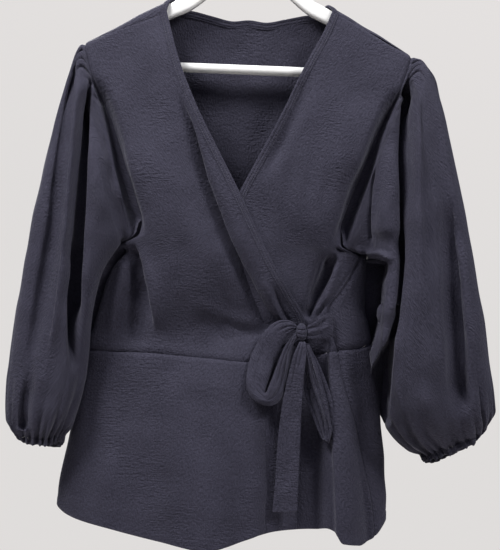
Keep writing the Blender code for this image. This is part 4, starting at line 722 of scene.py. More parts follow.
def front_grid(side, edge, columns):
    """Angles and levels of a front bodice: "left" is the upper wrap and "right" the lower one."""
    end = ARMHOLE_FRONT[side + "_down"][-1]
    sign = -1 if side == "left" else 1
    outer = [spot(x, down) for x, down in zip(ARMHOLE_FRONT[side + "_x"], ARMHOLE_FRONT[side + "_down"])]
    outer[-1] = (side_angle(end, side), end + SHIFT)
    outer += side_rows(side)
    levels = np.array([level for _, level in outer])
    edge = edge_rows(edge, (levels - levels[0]) / (levels[-1] - levels[0]))
    outer[0], edge[0] = shoulder_row(sign * TIP_X), shoulder_row(sign * NECK_X)
    angles, nominal = quilt(outer, edge, columns, BAND_WIDTH * 1.2)
    x = x_at(angles[0], nominal[0])
    nominal[0] = crest_down(x) + read(SHOULDER_SEAM, "forward", x)
    bottom = nominal[-1].copy()
    x = x_at(angles[-1], bottom)
    target = waist_down(x, 1) + SHIFT
    if side == "left":
        target = target + (bottom[-1] - target) * ramp((x - 10) / (KNOT_X - 10))
    return with_shoulder_rows(angles, waist_blend(angles, nominal, target), 1, FRONT_EXTRA)


def with_shoulder_rows(angles, levels, face, shares):
    """The grid with rows added below its first one, close enough to follow the bend over the hanger.

    Where the first row lies in front of the shoulder line, a negative share is part of the way to that line
    and a positive one is a distance past it. Elsewhere the rows are evenly spaced.
    """
    first, second = levels[0], levels[1]
    x_first, x_second = x_at(angles[0], first), x_at(angles[1], second)
    crest = crest_down(x_first)
    far = np.maximum(crest + 2 * CREST_R, first + 8.0)
    far = np.minimum(far, first + 0.8 * (second - first))
    rows_a, rows_l = [angles[0]], [first]
    for k, share in enumerate(shares):
        level = first + (far - first) * (k + 1) / len(shares)
        if face < 0:
            over_arm = crest + ((crest - first) * share if share < 0 else share)
            level = np.where(first < crest + 5, np.maximum(over_arm, first + 0.4 * (k + 1)), level)
        x = x_first + (x_second - x_first) * (level - first) / (second - first)
        rows_a.append(angle_of(x, level, face))
        rows_l.append(level)
    return np.array(rows_a + list(angles[1:])), np.array(rows_l + list(levels[1:]))


def back_top_x():
    """Columns of the back bodice along its top, close together where the neck edge crosses the hanger."""
    half = np.concatenate([np.linspace(-TIP_X, -NECK_X, 6), BACK_CORNER_X, np.linspace(-66, 0, 4)])
    return np.concatenate([half, -half[-2::-1]])


def back_side(side):
    """(angle, level) down one edge of the back bodice."""
    sign, round_front = (-1, 0.0) if side == "left" else (1, 2 * math.pi)
    rows = [spot(sign * x, down, -1) for x, down in zip(ARMHOLE_BACK["x"], ARMHOLE_BACK["down"])]
    end = ARMHOLE_FRONT[side + "_down"][-1]
    under = side_angle(end, side) + round_front
    near = rows[-2][0]
    rows[-2] = (near + (under - near) * 0.4, rows[-2][1])
    rows[-1] = (under, end + SHIFT)
    return rows + side_rows(side, round_front)


def back_grid():
    top_x = back_top_x()
    turn = angle_of(top_x, TIP_DOWN, -1)
    angles, levels = quilt(back_side("left"), back_side("right"), (turn - turn[0]) / (turn[-1] - turn[0]))
    on_shoulder = abs(top_x) >= NECK_X - 0.01
    run = np.where(on_shoulder, -read(SHOULDER_SEAM, "forward", top_x), read(BACK_NECK, "behind", top_x))
    lift = crest_down(top_x) + run - levels[0]
    for r in range(len(levels)):
        share = 1 - ramp(r / (len(levels) - 1 - SIDE_ROWS))
        x = x_at(angles[r], levels[r])
        x = x + (top_x - x) * share**3
        levels[r] = levels[r] + lift * share
        if share > 0:
            angles[r] = [float(angle_of(a, b, -1)) for a, b in zip(x, levels[r])]
        if share < 1e-9:
            break
    return with_shoulder_rows(angles, waist_blend(angles, levels), -1, BACK_EXTRA)


def hem_level(angle):
    level = np.full(np.shape(angle), 760.0)
    for _ in range(4):
        x = x_at(angle, level)
        level = np.where(np.sin(angle) >= -1e-9, read(HEM_FRONT, "down", x), read(HEM_BACK, "down", x)) + SHIFT
    return level


def peplum_grid(bodice, first_edge, last_edge):
    """Angles and levels of a flared panel between two edges, from the waist seam to the hem.

    Each edge is a function from a level to a ring angle.
    """
    top_angles, top_levels = (grid[-1] for grid in bodice)
    shares = (top_angles - top_angles[0]) / (top_angles[-1] - top_angles[0])
    hem_first, hem_last = first_edge(750.0), last_edge(760.0)
    for _ in range(3):
        hem_first = first_edge(float(hem_level(np.array([hem_first]))[0]))
        hem_last = last_edge(float(hem_level(np.array([hem_last]))[0]))
    bottom_levels = hem_level(hem_first + (hem_last - hem_first) * shares)
    angles, levels = [top_angles[0] + (top_angles[-1] - top_angles[0]) * shares], [top_levels]
    for share in np.linspace(0, 1, PEPLUM_ROWS)[1:]:
        level = top_levels + (bottom_levels - top_levels) * share
        first, last = first_edge(float(level[0])), last_edge(float(level[-1]))
        angles.append(first + (last - first) * shares)
        levels.append(level)
    return np.array(angles), np.array(levels)


def side_edge(side, turns=0.0):
    return lambda level: side_angle(level - SHIFT, side) + turns


def table_edge(table):
    return lambda level: float(angle_of(read(table, "x", level - SHIFT), level, 1))


# ---------------------------------------------------------------- fine surfaces
def refine(grid, rows, columns):
    """A grid with rows and columns added between its own, on curves with no overshoot."""
    for times in (rows, columns):
        own = np.arange(len(grid))
        fine = np.linspace(0, own[-1], own[-1] * times + 1)
        grid = np.stack([smooth(own, line, fine) for line in grid.T])
    return grid


def curve_through(points, times):
    """A smooth curve through points, each step cut into parts."""
    points = np.asarray(points, float)
    far = np.concatenate([2 * points[:1] - points[1:2], points, 2 * points[-1:] - points[-2:-1]])
    place = np.linspace(0, len(points) - 1, (len(points) - 1) * times + 1)
    i = np.minimum(place.astype(int), len(points) - 2)
    t = (place - i).reshape((-1,) + (1,) * (points.ndim - 1))
    a, b, c, d = far[i], far[i + 1], far[i + 2], far[i + 3]
    return 0.5 * (2 * b + (c - a) * t + (2 * a - 5 * b + 4 * c - d) * t**2 + (3 * b - a - 3 * c + d) * t**3)


def lengths_along(points, axis):
    """Distance run along a grid's lines from their first points."""
    steps = np.linalg.norm(np.diff(points, axis=axis), axis=-1)
    start = np.zeros_like(np.take(steps, [0], axis=axis))
    return np.concatenate([start, np.cumsum(steps, axis=axis)], axis=axis)


def normals_of(points, closed=False, like=None):
    """Unit normals of a grid of points, rows by columns, on the side where like points if it is given."""
    if closed:
        across = np.roll(points, -1, axis=1) - np.roll(points, 1, axis=1)
    else:
        across = np.gradient(points, axis=1)
    normal = unit(np.cross(across, np.gradient(points, axis=0)))
    return normal if like is None else normal * np.sign(np.sum(normal * like, axis=-1, keepdims=True))


def looped(points):
    """A closed grid with its first column again after its last."""
    return np.concatenate([points, points[:, :1]], axis=1)


def quads(rows, columns, closed=False):
    """The faces of a grid, as places in it counted row by row."""
    r, c = (a.ravel() for a in np.mgrid[0 : rows - 1, 0 : columns if closed else columns - 1])
    d = (c + 1) % columns
    return np.stack([r * columns + c, r * columns + d, (r + 1) * columns + d, (r + 1) * columns + c], axis=1)


def add_piece(name, points, faces, material, grain=None, sharp=None, drawn=True):
    """A piece on the one body, with its faces turned outwards.

    grain has a row of metres across and along for each corner of the faces, and sharp is the angle in degrees
    over which an edge is hard. drawn says that the points are as seen from VIEW_FROM.
    """
    real = true_size(points) if drawn else np.asarray(points, float)
    if grain is not None:
        volume = 0.0
        for size in {len(face) for face in faces}:
            corners = real[[face for face in faces if len(face) == size]]
            for k in range(1, size - 1):
                volume += np.einsum("ij,ij->", corners[:, 0], np.cross(corners[:, k], corners[:, k + 1]))
        if volume < 0:
            sizes = np.array([len(face) for face in faces])
            ends = np.repeat(np.cumsum(sizes), sizes)
            faces = [face[::-1] for face in faces]
            grain = grain[2 * ends - 1 - np.repeat(sizes, sizes) - np.arange(len(ends))]
    mesh = bpy.data.meshes.new(name)
    mesh.from_pydata((real * MM).tolist(), [], faces)
    mesh.materials.append(material)
    if grain is not None:
        mesh.uv_layers.new(name="grain").data.foreach_set("uv", (grain * MM).ravel())
    mesh.shade_smooth()
    if sharp is not None:
        mesh.set_sharp_from_angle(angle=math.radians(sharp))
        mesh.validate()
    piece = bpy.data.objects.new(name, mesh)
    bpy.context.scene.collection.objects.link(piece)
    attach(piece, "root")
    return piece


def add_fine(name, points, faces, material, grain, sharp, drawn=True):
    """A piece that stands for a node."""
    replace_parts(add_piece(name + "_fine", points, faces, material, grain, sharp, drawn), name)


def cloth(name, points, normals, thick, material, closed=False, spread=None, soft_ends=()):
    """A wall of cloth: the grid moved out and in by half its thickness, with rims and a grain map.

    soft_ends names the ends ("first", "last") whose rims are rounded.
    """
    rows, columns = points.shape[:2]
    count = rows * columns
    half = np.broadcast_to(np.asarray(thick, float), (rows, columns))[..., None] / 2
    shell = np.concatenate([(points + normals * half).reshape(-1, 3), (points - normals * half).reshape(-1, 3)])
    if spread is None:
        around = looped(points) if closed else points
        spread = np.stack([lengths_along(around, 1), lengths_along(around, 0) - around[:1, :, 2]], axis=-1)
    wide = spread.shape[1]
    outside, own_grain = quads(rows, columns, closed), quads(rows, wide)
    faces = [outside, outside[:, ::-1] + count]
    grain = [own_grain, own_grain[:, ::-1]]

    def rim(a, b, c, d, grain_a, grain_b):
        faces.append(np.stack([d, c, b, a], axis=1))
        grain.append(np.stack([grain_a, grain_b, grain_b, grain_a], axis=1)[:, ::-1])

    c = np.arange(columns if closed else columns - 1)
    d = (c + 1) % columns
    for end, row, inner in (("first", 0, 1), ("last", rows - 1, rows - 2)):
        a, b, grain_a, grain_b = (d, c, c + 1, c) if row == 0 else (c, d, c, c + 1)
        a, b = a + row * columns, b + row * columns
        grain_a, grain_b = grain_a + row * wide, grain_b + row * wide
        if end in soft_ends:
            lip = points[row] - unit(points[inner] - points[row]) * half[row] * LIP
            lip_a, lip_b = a - row * columns + len(shell), b - row * columns + len(shell)
            shell = np.concatenate([shell, lip])
            rim(a, b, lip_b, lip_a, grain_a, grain_b)
            rim(lip_a, lip_b, b + count, a + count, grain_a, grain_b)
        else:
            rim(a, b, b + count, a + count, grain_a, grain_b)
    if not closed:
        r = np.arange(rows - 1)
        for a, b, grain_a, grain_b in (
            (r * columns, (r + 1) * columns, r * wide, (r + 1) * wide),
            ((r + 2) * columns - 1, (r + 1) * columns - 1, (r + 2) * wide - 1, (r + 1) * wide - 1),
        ):
            rim(a, b, b + count, a + count, grain_a, grain_b)
    flat = spread.reshape(-1, 2)[np.concatenate(grain)].reshape(-1, 2)
    add_fine(name, shell, np.concatenate(faces).tolist(), material, flat, CLOTH_SHARP)


def swept(name, sections, material, caps, order, sharp, drawn=True):
    """A body through rings of equal point counts.

    caps are the faces that close the first ring, as places in it, with -1 for the ring's middle. order says
    which of the grain's two numbers runs round the rings.
    """
    sections = np.asarray(sections, float)
    count, sides = sections.shape[:2]
    points = np.concatenate([sections.reshape(-1, 3), sections[[0, -1]].mean(axis=1)])
    around = looped(sections)
    run = np.stack([lengths_along(around, 1 - order), lengths_along(around, order)], axis=-1).reshape(-1, 2)
    faces = quads(count, sides, True).tolist()
    last, tip = (count - 1) * sides, count * sides
    faces += [[tip if i < 0 else int(i) for i in cap[::-1]] for cap in caps]
    faces += [[tip + 1 if i < 0 else last + int(i) for i in cap] for cap in caps]
    if not any(i < 0 for cap in caps for i in cap):
        points = points[:tip]
    grain = np.concatenate([run[quads(count, sides + 1)].reshape(-1, 2), np.zeros((6 * len(caps), 2))])
    add_fine(name, points, faces, material, grain, sharp, drawn)


def tipped(name, sections, material, drawn=True):
    """A body through rings, its ends drawn together to a point."""
    sides = len(sections[0])
    swept(name, sections, material, [(k, (k + 1) % sides, -1) for k in range(sides)], 0, TIPPED_SHARP, drawn)


# ---------------------------------------------------------------- panels
def armhole_dip(down):
    """How far the cloth sinks beside an armhole's seam."""
    start, end = ARMHOLE_DIP_SPAN
    return ARMHOLE_DIP[0] * ramp((down - start) / 40) * (1 - ramp((down - end) / 30))


def panel(name, grid, layer, creases, dense, seed, sewn, material):
    """A panel of the torso in fine cloth. sewn names the edges with a seam; a free last row is a hem."""
    points, normals = torso_patch(*(refine(part, *dense) for part in trimmed(*grid, layer)), layer)
    if np.mean(normals[..., 1]) * (1 if layer else -1) > 0:
        normals = -normals
    x, down = points[..., 0], -points[..., 2]
    across, along = lengths_along(points, 1), lengths_along(points, 0)
    gaps = {"first": across, "last": across[:, -1:] - across, "top": along, "hem": along[-1:] - along}
    bodice = "hem" in sewn
    keep, dip = np.ones(x.shape), np.zeros(x.shape)
    for edge in sewn:
        deep = TOP_SEAM_DIP if edge == "top" and bodice else SEAM_DIP
        dip = dip + deep * bell(gaps[edge] / SEAM_DIP_WIDE)
        if edge in ("first", "last"):
            keep = keep * ramp(gaps[edge] / CREASE_CLEAR)
            if bodice:
                share = 1.0 if layer else REAR_ARMHOLE
                dip = dip + armhole_dip(down) * share * bell(gaps[edge] / ARMHOLE_DIP[2], 2.4)
    if "last" not in sewn and layer:
        keep = keep * ramp((gaps["last"] - BAND_WIDTH) / CREASE_CLEAR)
    change = (relief(creases, x, down) + uneven(x, down, seed, UNEVEN)) * keep - dip
    thick = np.full(x.shape, CLOTH_FINE)
    if not bodice:
        thick = thick + HEM_EXTRA * (1 - ramp((gaps["hem"] - HEM_WIDE + 0.8) / 1.6))
        change = change - HEM_LINE * bell((gaps["hem"] - HEM_WIDE) / 1.2)
    shown = points + normals * change[..., None]
    blend = ramp(np.minimum.reduce([gaps[edge] for edge in sewn]) / 4)[..., None]
    fine = unit(normals_of(shown, like=normals) * blend + normals * (1 - blend))
    spread = np.stack([across - across[:, across.shape[1] // 2][:, None], along + down[:1]], axis=-1)
    cloth(name, shown, fine, thick, material, spread=spread, soft_ends=() if bodice else ("last",))
    return points, normals


# ---------------------------------------------------------------- sleeves
def ring_frame(table, k):
    """Middle of a sleeve's ring k, the way from it to the ring's outer end, and the way to its front."""
    ox, oy, od, ix, iy, inner_down = (
        smooth(np.arange(len(table[key])), table[key], k) for key in ("ox", "oy", "od", "ix", "iy", "id")
    )
    outer, inner = np.array([ox, -oy, -od]), np.array([ix, iy, -inner_down])
    middle, reach = (outer + inner) / 2, (outer - inner) / 2
    return middle, reach, unit(np.array([0, -1.0, 0]) + reach * (reach[1] / reach.dot(reach)))


def rounded(value):
    """A ring's cosine or sine, with its corners a little fuller than a circle's."""
    return np.sign(value) * abs(value) ** 0.9


def sleeve_base(table, folds, side, k, turn):
    """A sleeve's ring k, a real number, before it is joined to the armhole."""
    middle, reach, forward = ring_frame(table, k)
    front = np.sin(turn) >= 0
    depth = np.where(front, *(smooth(np.arange(len(table[key])), table[key], k) for key in ("front", "back")))
    along, swell = rounded(np.cos(turn)), rounded(np.sin(turn))
    ring = middle + along[:, None] * reach + (swell * depth)[:, None] * forward
    fold = relief(folds, ring[:, 0], -ring[:, 2]) * np.where(front, 1.0, 0.35)
    ring += (fold * ramp(abs(np.sin(turn)) * 2.2) * np.sign(swell))[:, None] * forward
    ring[:, 0] += ARMHOLE_STEP[side] * ramp(-1.4 * np.sin(turn)) * ramp(1 - k / 6)
    return hollowed(ring, turn) if side == "right" else ring


def hollowed(ring, turn):
    """The right sleeve's ring with the hollows beside the body, its back pushed out of their way."""
    x, down = ring[:, 0], -ring[:, 2]
    rear = np.sin(turn) < 0
    degrees = np.degrees(turn)
    push, shift = np.zeros(len(ring)), np.zeros(len(ring))
    inner = ramp((turn - math.radians(70)) / 0.2) * ramp((math.radians(236) - turn) / 0.5)
    for void in VOIDS:
        top, bottom = void["down"][0], void["down"][-1]
        start, end = read(void, "from", down), read(void, "to", down)
        inside = ramp((x - start) / void["edge"]) * ramp((end - x) / void["edge"]) * inner
        inside = inside * ramp((down - top) / void["soft"]) * ramp((bottom - down) / 12)
        swell = ramp((end + 34 - x) / 60) * ramp((down - top + 70) / 90) * ramp((bottom + 70 - down) / 90)
        aside = inside * np.where(rear, ramp((math.radians(215) - turn) / 0.5), 1.0)
        inside = np.where(rear, swell * ramp((math.radians(300) - turn) / 1.0), inside)
        slope = VOID_SLOPE * ramp((end - x - 4) / 22) * ramp((200 - degrees) / 20)
        floor = void["floor"] + REAR_CLEAR * rear - slope
        push = np.maximum(push, inside * np.maximum(floor - ring[:, 1], 0))
        shift += aside * (VOID_UNDERCUT - void["left"] * ramp((end - x - 8) / 14))
    behind = bell((turn - math.radians(196)) / 0.5) * ramp((down - 375) / 45) * ramp((560 - down) / 90)
    ring[:, 0] += shift - BODY_LAP * behind
    ring[:, 1] += push
    return ring


def valley_turn(table, path, k):
    """Where on a ring the deep fold lies."""
    middle, reach, _ = ring_frame(table, k)
    turn = np.linspace(math.radians(45), math.radians(135), 91)
    along = rounded(np.cos(turn))
    x, down = middle[0] + along * reach[0], -(middle[2] + along * reach[2])
    return turn[np.argmin(abs(x - np.interp(down, path[1::2], path[::2])))]


def seam_loop(front, back):
    """An armhole's seam, down the front first: its points and normals, the way off its edge and the underarm."""
    down = (len(ARMHOLE_BACK["x"]) + len(FRONT_EXTRA) - 1) * FRONT_DENSE[0]
    up = (len(ARMHOLE_BACK["x"]) + len(BACK_EXTRA) - 1) * BACK_DENSE[0]
    parts = []
    for (points, normals), rows in ((front, slice(0, down + 1)), (back, slice(up - 1, 0, -1))):
        parts.append((points[rows, 0], normals[rows, 0], unit(points[rows, 0] - points[rows, 3])))
    points, normal, off = (np.concatenate(pair) for pair in zip(*parts))
    run = run_of(points)
    near = (1 - ramp(abs(run - run[down]) / 14))[:, None]
    return points, normal, unit(off * (1 - near) + np.array([0, 0, 1.0]) * near), down


def along_seam(values, points, turn, half_index):
    """Values round a closed seam: half a turn runs down the front and the other half up the back."""
    lengths = run_of(np.concatenate([points, points[:1]]))
    down, up = lengths[half_index], lengths[-1] - lengths[half_index]
    at = np.where(turn <= math.pi, turn / math.pi * down, down + (turn / math.pi - 1) * up)
    for corner in (lengths[half_index - 1], lengths[half_index + 1]):
        at[np.argmin(abs(at - corner))] = corner
    values = np.concatenate([values, values[:1]])
    return np.stack([np.interp(at, lengths, values[:, k]) for k in range(3)], axis=1)


def gathers(pleats, turn, distance, radius):
    """Furrows that run away from a gathered seam."""
    total = np.zeros(turn.shape)
    for at, deep, wide, long in zip(*(pleats[key] for key in ("turn", "deep", "wide", "long"))):
        gap = (np.degrees(turn) - at + 180) % 360 - 180
        spread = wide * (1 + 0.8 * np.minimum(distance / long, 1.5))
        total -= 1.6 * deep * bell(np.radians(gap) * radius / spread / 0.62) * bell(distance / long, 1.6)
    return total


def sleeve(side, table, folds, creases, front, back, seed, material):
    """A sleeve in fine cloth, gathered into its armhole and its cuff."""
    seam, seam_normal, off, under = seam_loop(front, back)
    count = len(table["ox"])
    deep_path = creases[0][4]
    valleys = [valley_turn(table, deep_path, k) for k in range(count)]
    column = np.arange(SLEEVE_COLUMNS) / SLEEVE_COLUMNS

    def turns(k):
        """Turns round ring k of the sleeve's columns, closest together beside the deep fold."""
        valley = float(smooth(np.arange(count), valleys, k))
        near = math.radians(FOLD_SPAN)
        return smooth(FOLD_SHARES, [0, valley - near, valley, valley + near, math.pi, 2 * math.pi], column)

    turn = turns(0)
    in_front = np.sin(turn) >= 0
    seam_at = along_seam(seam, seam, turn, under)
    normal_at = unit(along_seam(seam_normal, seam, turn, under))
    way = unit(along_seam(off, seam, turn, under))
    normal_at *= (np.sign(normal_at[:, 1]) * np.where(in_front, -1.0, 1.0))[:, None]
    beneath = ramp((-np.cos(turn) - 0.86) / 0.12)[:, None]
    first_normal = unit((1 - beneath) * normal_at + beneath * np.array([0, 0, -1.0]))
    tilt = np.linalg.norm(np.cross(first_normal, normal_at), axis=1, keepdims=True)
    clear = 0.6 * SEAM_GAP + 0.5 * ramp(-np.cos(turn))[:, None]
    first = seam_at + way * (clear + CLOTH_FINE / 2 * tilt)
    rings, angle = [], []
    for k in np.linspace(-1, count - 1, count * SLEEVE_STEPS + 1):
        blend = 1 - ramp((k + 1) / SLEEVE_JOIN)
        angle.append(turns(max(k, 0.0)))
        ring = sleeve_base(table, folds, side, max(k, 0.0), angle[-1])
        rings.append(ring * (1 - blend) + (first + way * (5.0 * (k + 1))) * blend)
    base, angle = np.array(rings), np.array(angle)
    normals = normals_of(base, True)
    middle = base.mean(axis=1, keepdims=True)
    if np.mean(np.sum(normals[60] * (base[60] - middle[60]), axis=-1)) < 0:
        normals = -normals
    radius = np.maximum(np.linalg.norm(base - middle, axis=-1), 30)
    from_seam = lengths_along(base, 0)
    to_cuff = from_seam[-1:] - from_seam
    sides = ramp(abs(np.sin(angle)) * 3) * np.where(np.sin(angle) >= 0, 1.0, REAR_CREASES)
    x, down = base[..., 0], -base[..., 2]
    # Narrows the sleeve's two ends above the cuff, as the elastic draws them in.
    corner = (abs(np.cos(angle)) ** 5 * ramp(1 - to_cuff / CUFF_DRAWN[0]))[..., None]
    rise = unit(middle[-24, 0] - middle[-1, 0])
    base = base + corner * (CUFF_DRAWN[1] * (middle - base) + CUFF_DRAWN[2] * rise)
    change = relief(creases, x, down) * sides * ramp(from_seam / 10) * ramp((to_cuff + 6) / 20)
    calm = 0.3 + 0.7 * abs(np.sin(angle))
    change += uneven(x + 0.7 * base[..., 1], down, seed, 1.4 * UNEVEN) * ramp(from_seam / 12) * calm
    change += gathers(HEAD_PLEATS, angle, from_seam, radius) * ramp((from_seam + 2) / 6)
    change += 1.5 * gathers(CUFF_PLEATS, angle + seed, to_cuff, radius)
    change += 1.6 * ramp(to_cuff / 10) * bell(to_cuff / 45)
    change *= ramp(from_seam / 8)
    change -= SEAM_DIP * bell(from_seam / SEAM_DIP_WIDE)
    sunk = armhole_dip(-seam_at[:, 2]) * np.where(in_front, 1.0, REAR_ARMHOLE)
    change -= sunk * (1 - ramp((from_seam - ARMHOLE_DIP[1]) / 3.5))
    high, away, wide = ARMHOLE_PUFF
    change += high * sunk / ARMHOLE_DIP[0] * bell((from_seam - away) / wide) * ramp((from_seam - 4) / 4)
    hold = (1 - ramp(from_seam / 7))[..., None]
    points = base + unit(normals * (1 - hold) + first_normal * hold) * change[..., None]
    fine = unit(normals_of(points, True, normals) * (1 - hold) + first_normal * hold)
    last = points[-1]
    ahead, inner, rear = (int(np.argmin(abs(angle[-1] - turn))) for turn in np.radians((90, 180, 270)))
    out = unit(np.cross(last[0] - last[inner], last[ahead] - last[rear]))
    out *= np.sign(out.dot(last.mean(axis=0) - points[-30].mean(axis=0)))
    fine[-1] = unit(fine[-1] - out * fine[-1].dot(out)[:, None])
    around = looped(points)
    u, v = lengths_along(around, 1), lengths_along(around, 0) - around[:1, :, 2]
    across, aslant = math.cos(math.radians(GRAIN_TILT[side])), math.sin(math.radians(GRAIN_TILT[side]))
    spread = np.stack([u * across + v * aslant, v * across - u * aslant], axis=-1)
    cloth("sleeve_" + side, points, fine, CLOTH_FINE, material, closed=True, spread=spread)
    return last, fine[-1], out


def cuff(side, last, fine, out, seed, material):
    """The elastic casing below a sleeve's last ring, puckered. Returns its lines of stitches."""
    draw = np.random.default_rng(seed)
    flat_out = unit(fine - out * fine.dot(out)[:, None])
    turn = np.linspace(0, 2 * math.pi, SLEEVE_COLUMNS, endpoint=False)
    reach = np.linalg.norm(last - last.mean(axis=0), axis=1)
    ends = np.exp(-((reach / reach.max() - 1) ** 2) * 14)[:, None]
    pucker = sum(draw.uniform(0.5, 1) * np.sin(n * turn + draw.uniform(0, 7)) for n in CUFF_WAVES) * 0.4
    rings = []
    for along, drawn in CUFF_PROFILE:
        share = along / CUFF_PROFILE[-1][0]
        crinkle = pucker * math.sin(math.pi * (0.15 + 0.7 * share))
        ring = last + out * along * (1 - 0.8 * share * ends) - flat_out * (drawn - crinkle)[:, None]
        rings.append(ring + (last.mean(axis=0) + out * along - ring) * 0.22 * share * ends)
    rings = np.array(rings)
    normals = normals_of(rings, True, flat_out)
    normals = unit(normals - out * (normals @ out)[..., None])
    thick = np.interp([p[0] for p in CUFF_PROFILE], *CUFF_THICK)[:, None]
    cloth("cuff_" + side, rings, normals, thick + 0 * rings[..., 0], material, closed=True, soft_ends=("last",))
    shown = looped(rings + normals * (thick[..., None] / 2))
    return [(shown[row], looped(normals)[row]) for row in (2, len(CUFF_PROFILE) - 3)]


# ---------------------------------------------------------------- stitching
def stitching(name, lines, material):
    """A row of short threads along each line of points and normals, half sunk in the cloth."""
    ring = [math.radians(60.0 * k) for k in range(6)]
    points, faces = [], []
    closed = quads(len(STITCH_SHAPE), 6, True)
    for line, normals in lines:
        run = run_of(line)

        def at(values, place):
            return np.array([np.interp(place, run, values[:, k]) for k in range(3)])

        for place in np.arange(STITCH_EVERY, run[-1] - STITCH_EVERY / 2, STITCH_EVERY):
            ends = [at(line, place + s * STITCH_LONG) for s in (-0.5, 0.5)]
            normal = unit(at(normals, place))
            way = unit(ends[1] - ends[0])
            side = unit(np.cross(way, normal))
            start = len(points)
            for s, wide in STITCH_SHAPE:
                centre = (ends[0] + ends[1]) / 2 + way * s * STITCH_LONG + normal * (0.1 - 0.5 * s * s)
                points += [centre + STITCH_R * wide * (side * math.cos(t) + normal * math.sin(t)) for t in ring]
            faces += (closed + start).tolist()
            faces += [list(range(start + 5, start - 1, -1)), list(range(len(points) - 6, len(points)))]
    add_piece(name, points, faces, material)


# ---------------------------------------------------------------- neckline bindings
def binding(name, angles, levels, layer, end_ways, material):
    """A folded strip round a neckline edge: a rounded U in section that follows the cloth.

    end_ways gives the way from the edge into the cloth at the strip's two ends, as (x, down), or None. Returns
    the strip's lines of stitches.
    """
    path = curve_through(np.stack([x_at(angles, levels), levels], axis=1), BAND_TIMES)
    run = run_of(path)
    keep = np.linspace(0, run[-1], int(run[-1] / BAND_STEP) + 1)
    path = np.stack([np.interp(keep, run, path[:, k]) for k in range(2)], axis=1)
    way = np.gradient(path, axis=0)
    way = unit(np.stack([-way[:, 1], way[:, 0]], axis=1))
    middle = way[len(way) // 2]
    way = way * np.sign({"over": -middle[0], "under": middle[0], "": middle[1]}[layer])
    for given, reach in zip(end_ways, (keep, keep[-1] - keep)):
        if given is not None:
            share = (1 - ramp(reach / 14))[:, None]
            way = unit(way * (1 - share) + unit(np.array(given, float)) * share)
    flat = []
    for t in BAND_AT:
        x, level = (path + way * t).T
        flat.append(torso(angle_of(x, level, 1 if layer else -1), level, layer))
    flat = np.array(flat)
    centre = flat[len(BAND_AT) // 2]
    across = unit(flat[-1] - flat[0])
    normal = unit(np.cross(unit(np.gradient(centre, axis=0)), across))
    if np.mean(normal[:, 1]) * (1 if layer else -1) > 0:
        normal = -normal
    local = []
    for i, line in enumerate(flat):
        over = unit(flat[min(i + 1, len(flat) - 1)] - flat[max(i - 1, 0)])
        own = unit(np.cross(unit(np.gradient(line, axis=0)), over))
        local.append(own * np.sign(np.sum(own * normal, axis=-1, keepdims=True)))
    near = CLOTH_FINE / 2 + BAND_CLEAR
    far = near + BAND_WALL_FINE
    lifts = far + np.array(BAND_LIFT)
    edge_out = unit(flat[0] - flat[1])
    upper = [flat[i] + lifts[i] * local[i] for i in range(len(BAND_AT))]
    lower = [flat[i] - lifts[i] * local[i] for i in range(len(BAND_AT))]
    bend = [flat[0] + edge_out * (0.3 + BAND_OVER_FINE * math.cos(t)) + local[0] * lifts[0] * math.sin(t)
            for t in np.radians((60, 30, 0, -30, -60))]
    lips = [flat[-1] + sign * (near + far) / 2 * local[-1] + 0.25 * across for sign in (1, -1)]
    ends = [flat[-1] + near * local[-1], flat[-1] - near * local[-1],
            flat[0] - near * local[0] + 0.1 * edge_out, flat[0] + near * local[0] + 0.1 * edge_out]
    sections = np.array([ends[0], lips[0], *upper[::-1], *bend, *lower, lips[1], *ends[1:]]).transpose(1, 0, 2)
    swept(name, sections, material, u_caps(sections.shape[1]), 1, CLOTH_SHARP)
    rows = [BAND_AT.index(place) for place in BAND_STITCHES]
    return [(flat[i] + (lifts[i] + 0.02) * local[i], local[i]) for i in rows]


def u_caps(sides):
    """Triangles that close the end of a U of that many points, the last two of which are inside it."""
    half = (sides - 4) // 2
    top, bottom = range(half + 1), range(sides - 3, sides - 4 - half, -1)
    middle = range(top[-1], bottom[-1] + 1)
    inner_bottom, inner_top = sides - 2, sides - 1
    caps = [(a, b, inner_top) for a, b in zip(top, top[1:])]
    caps += [(b, a, inner_bottom) for a, b in zip(bottom, bottom[1:])]
    for j, (a, b) in enumerate(zip(middle, middle[1:])):
        caps.append((a, b, inner_top if j < len(middle) // 2 else inner_bottom))
    return caps + [(middle[len(middle) // 2], inner_bottom, inner_top)]


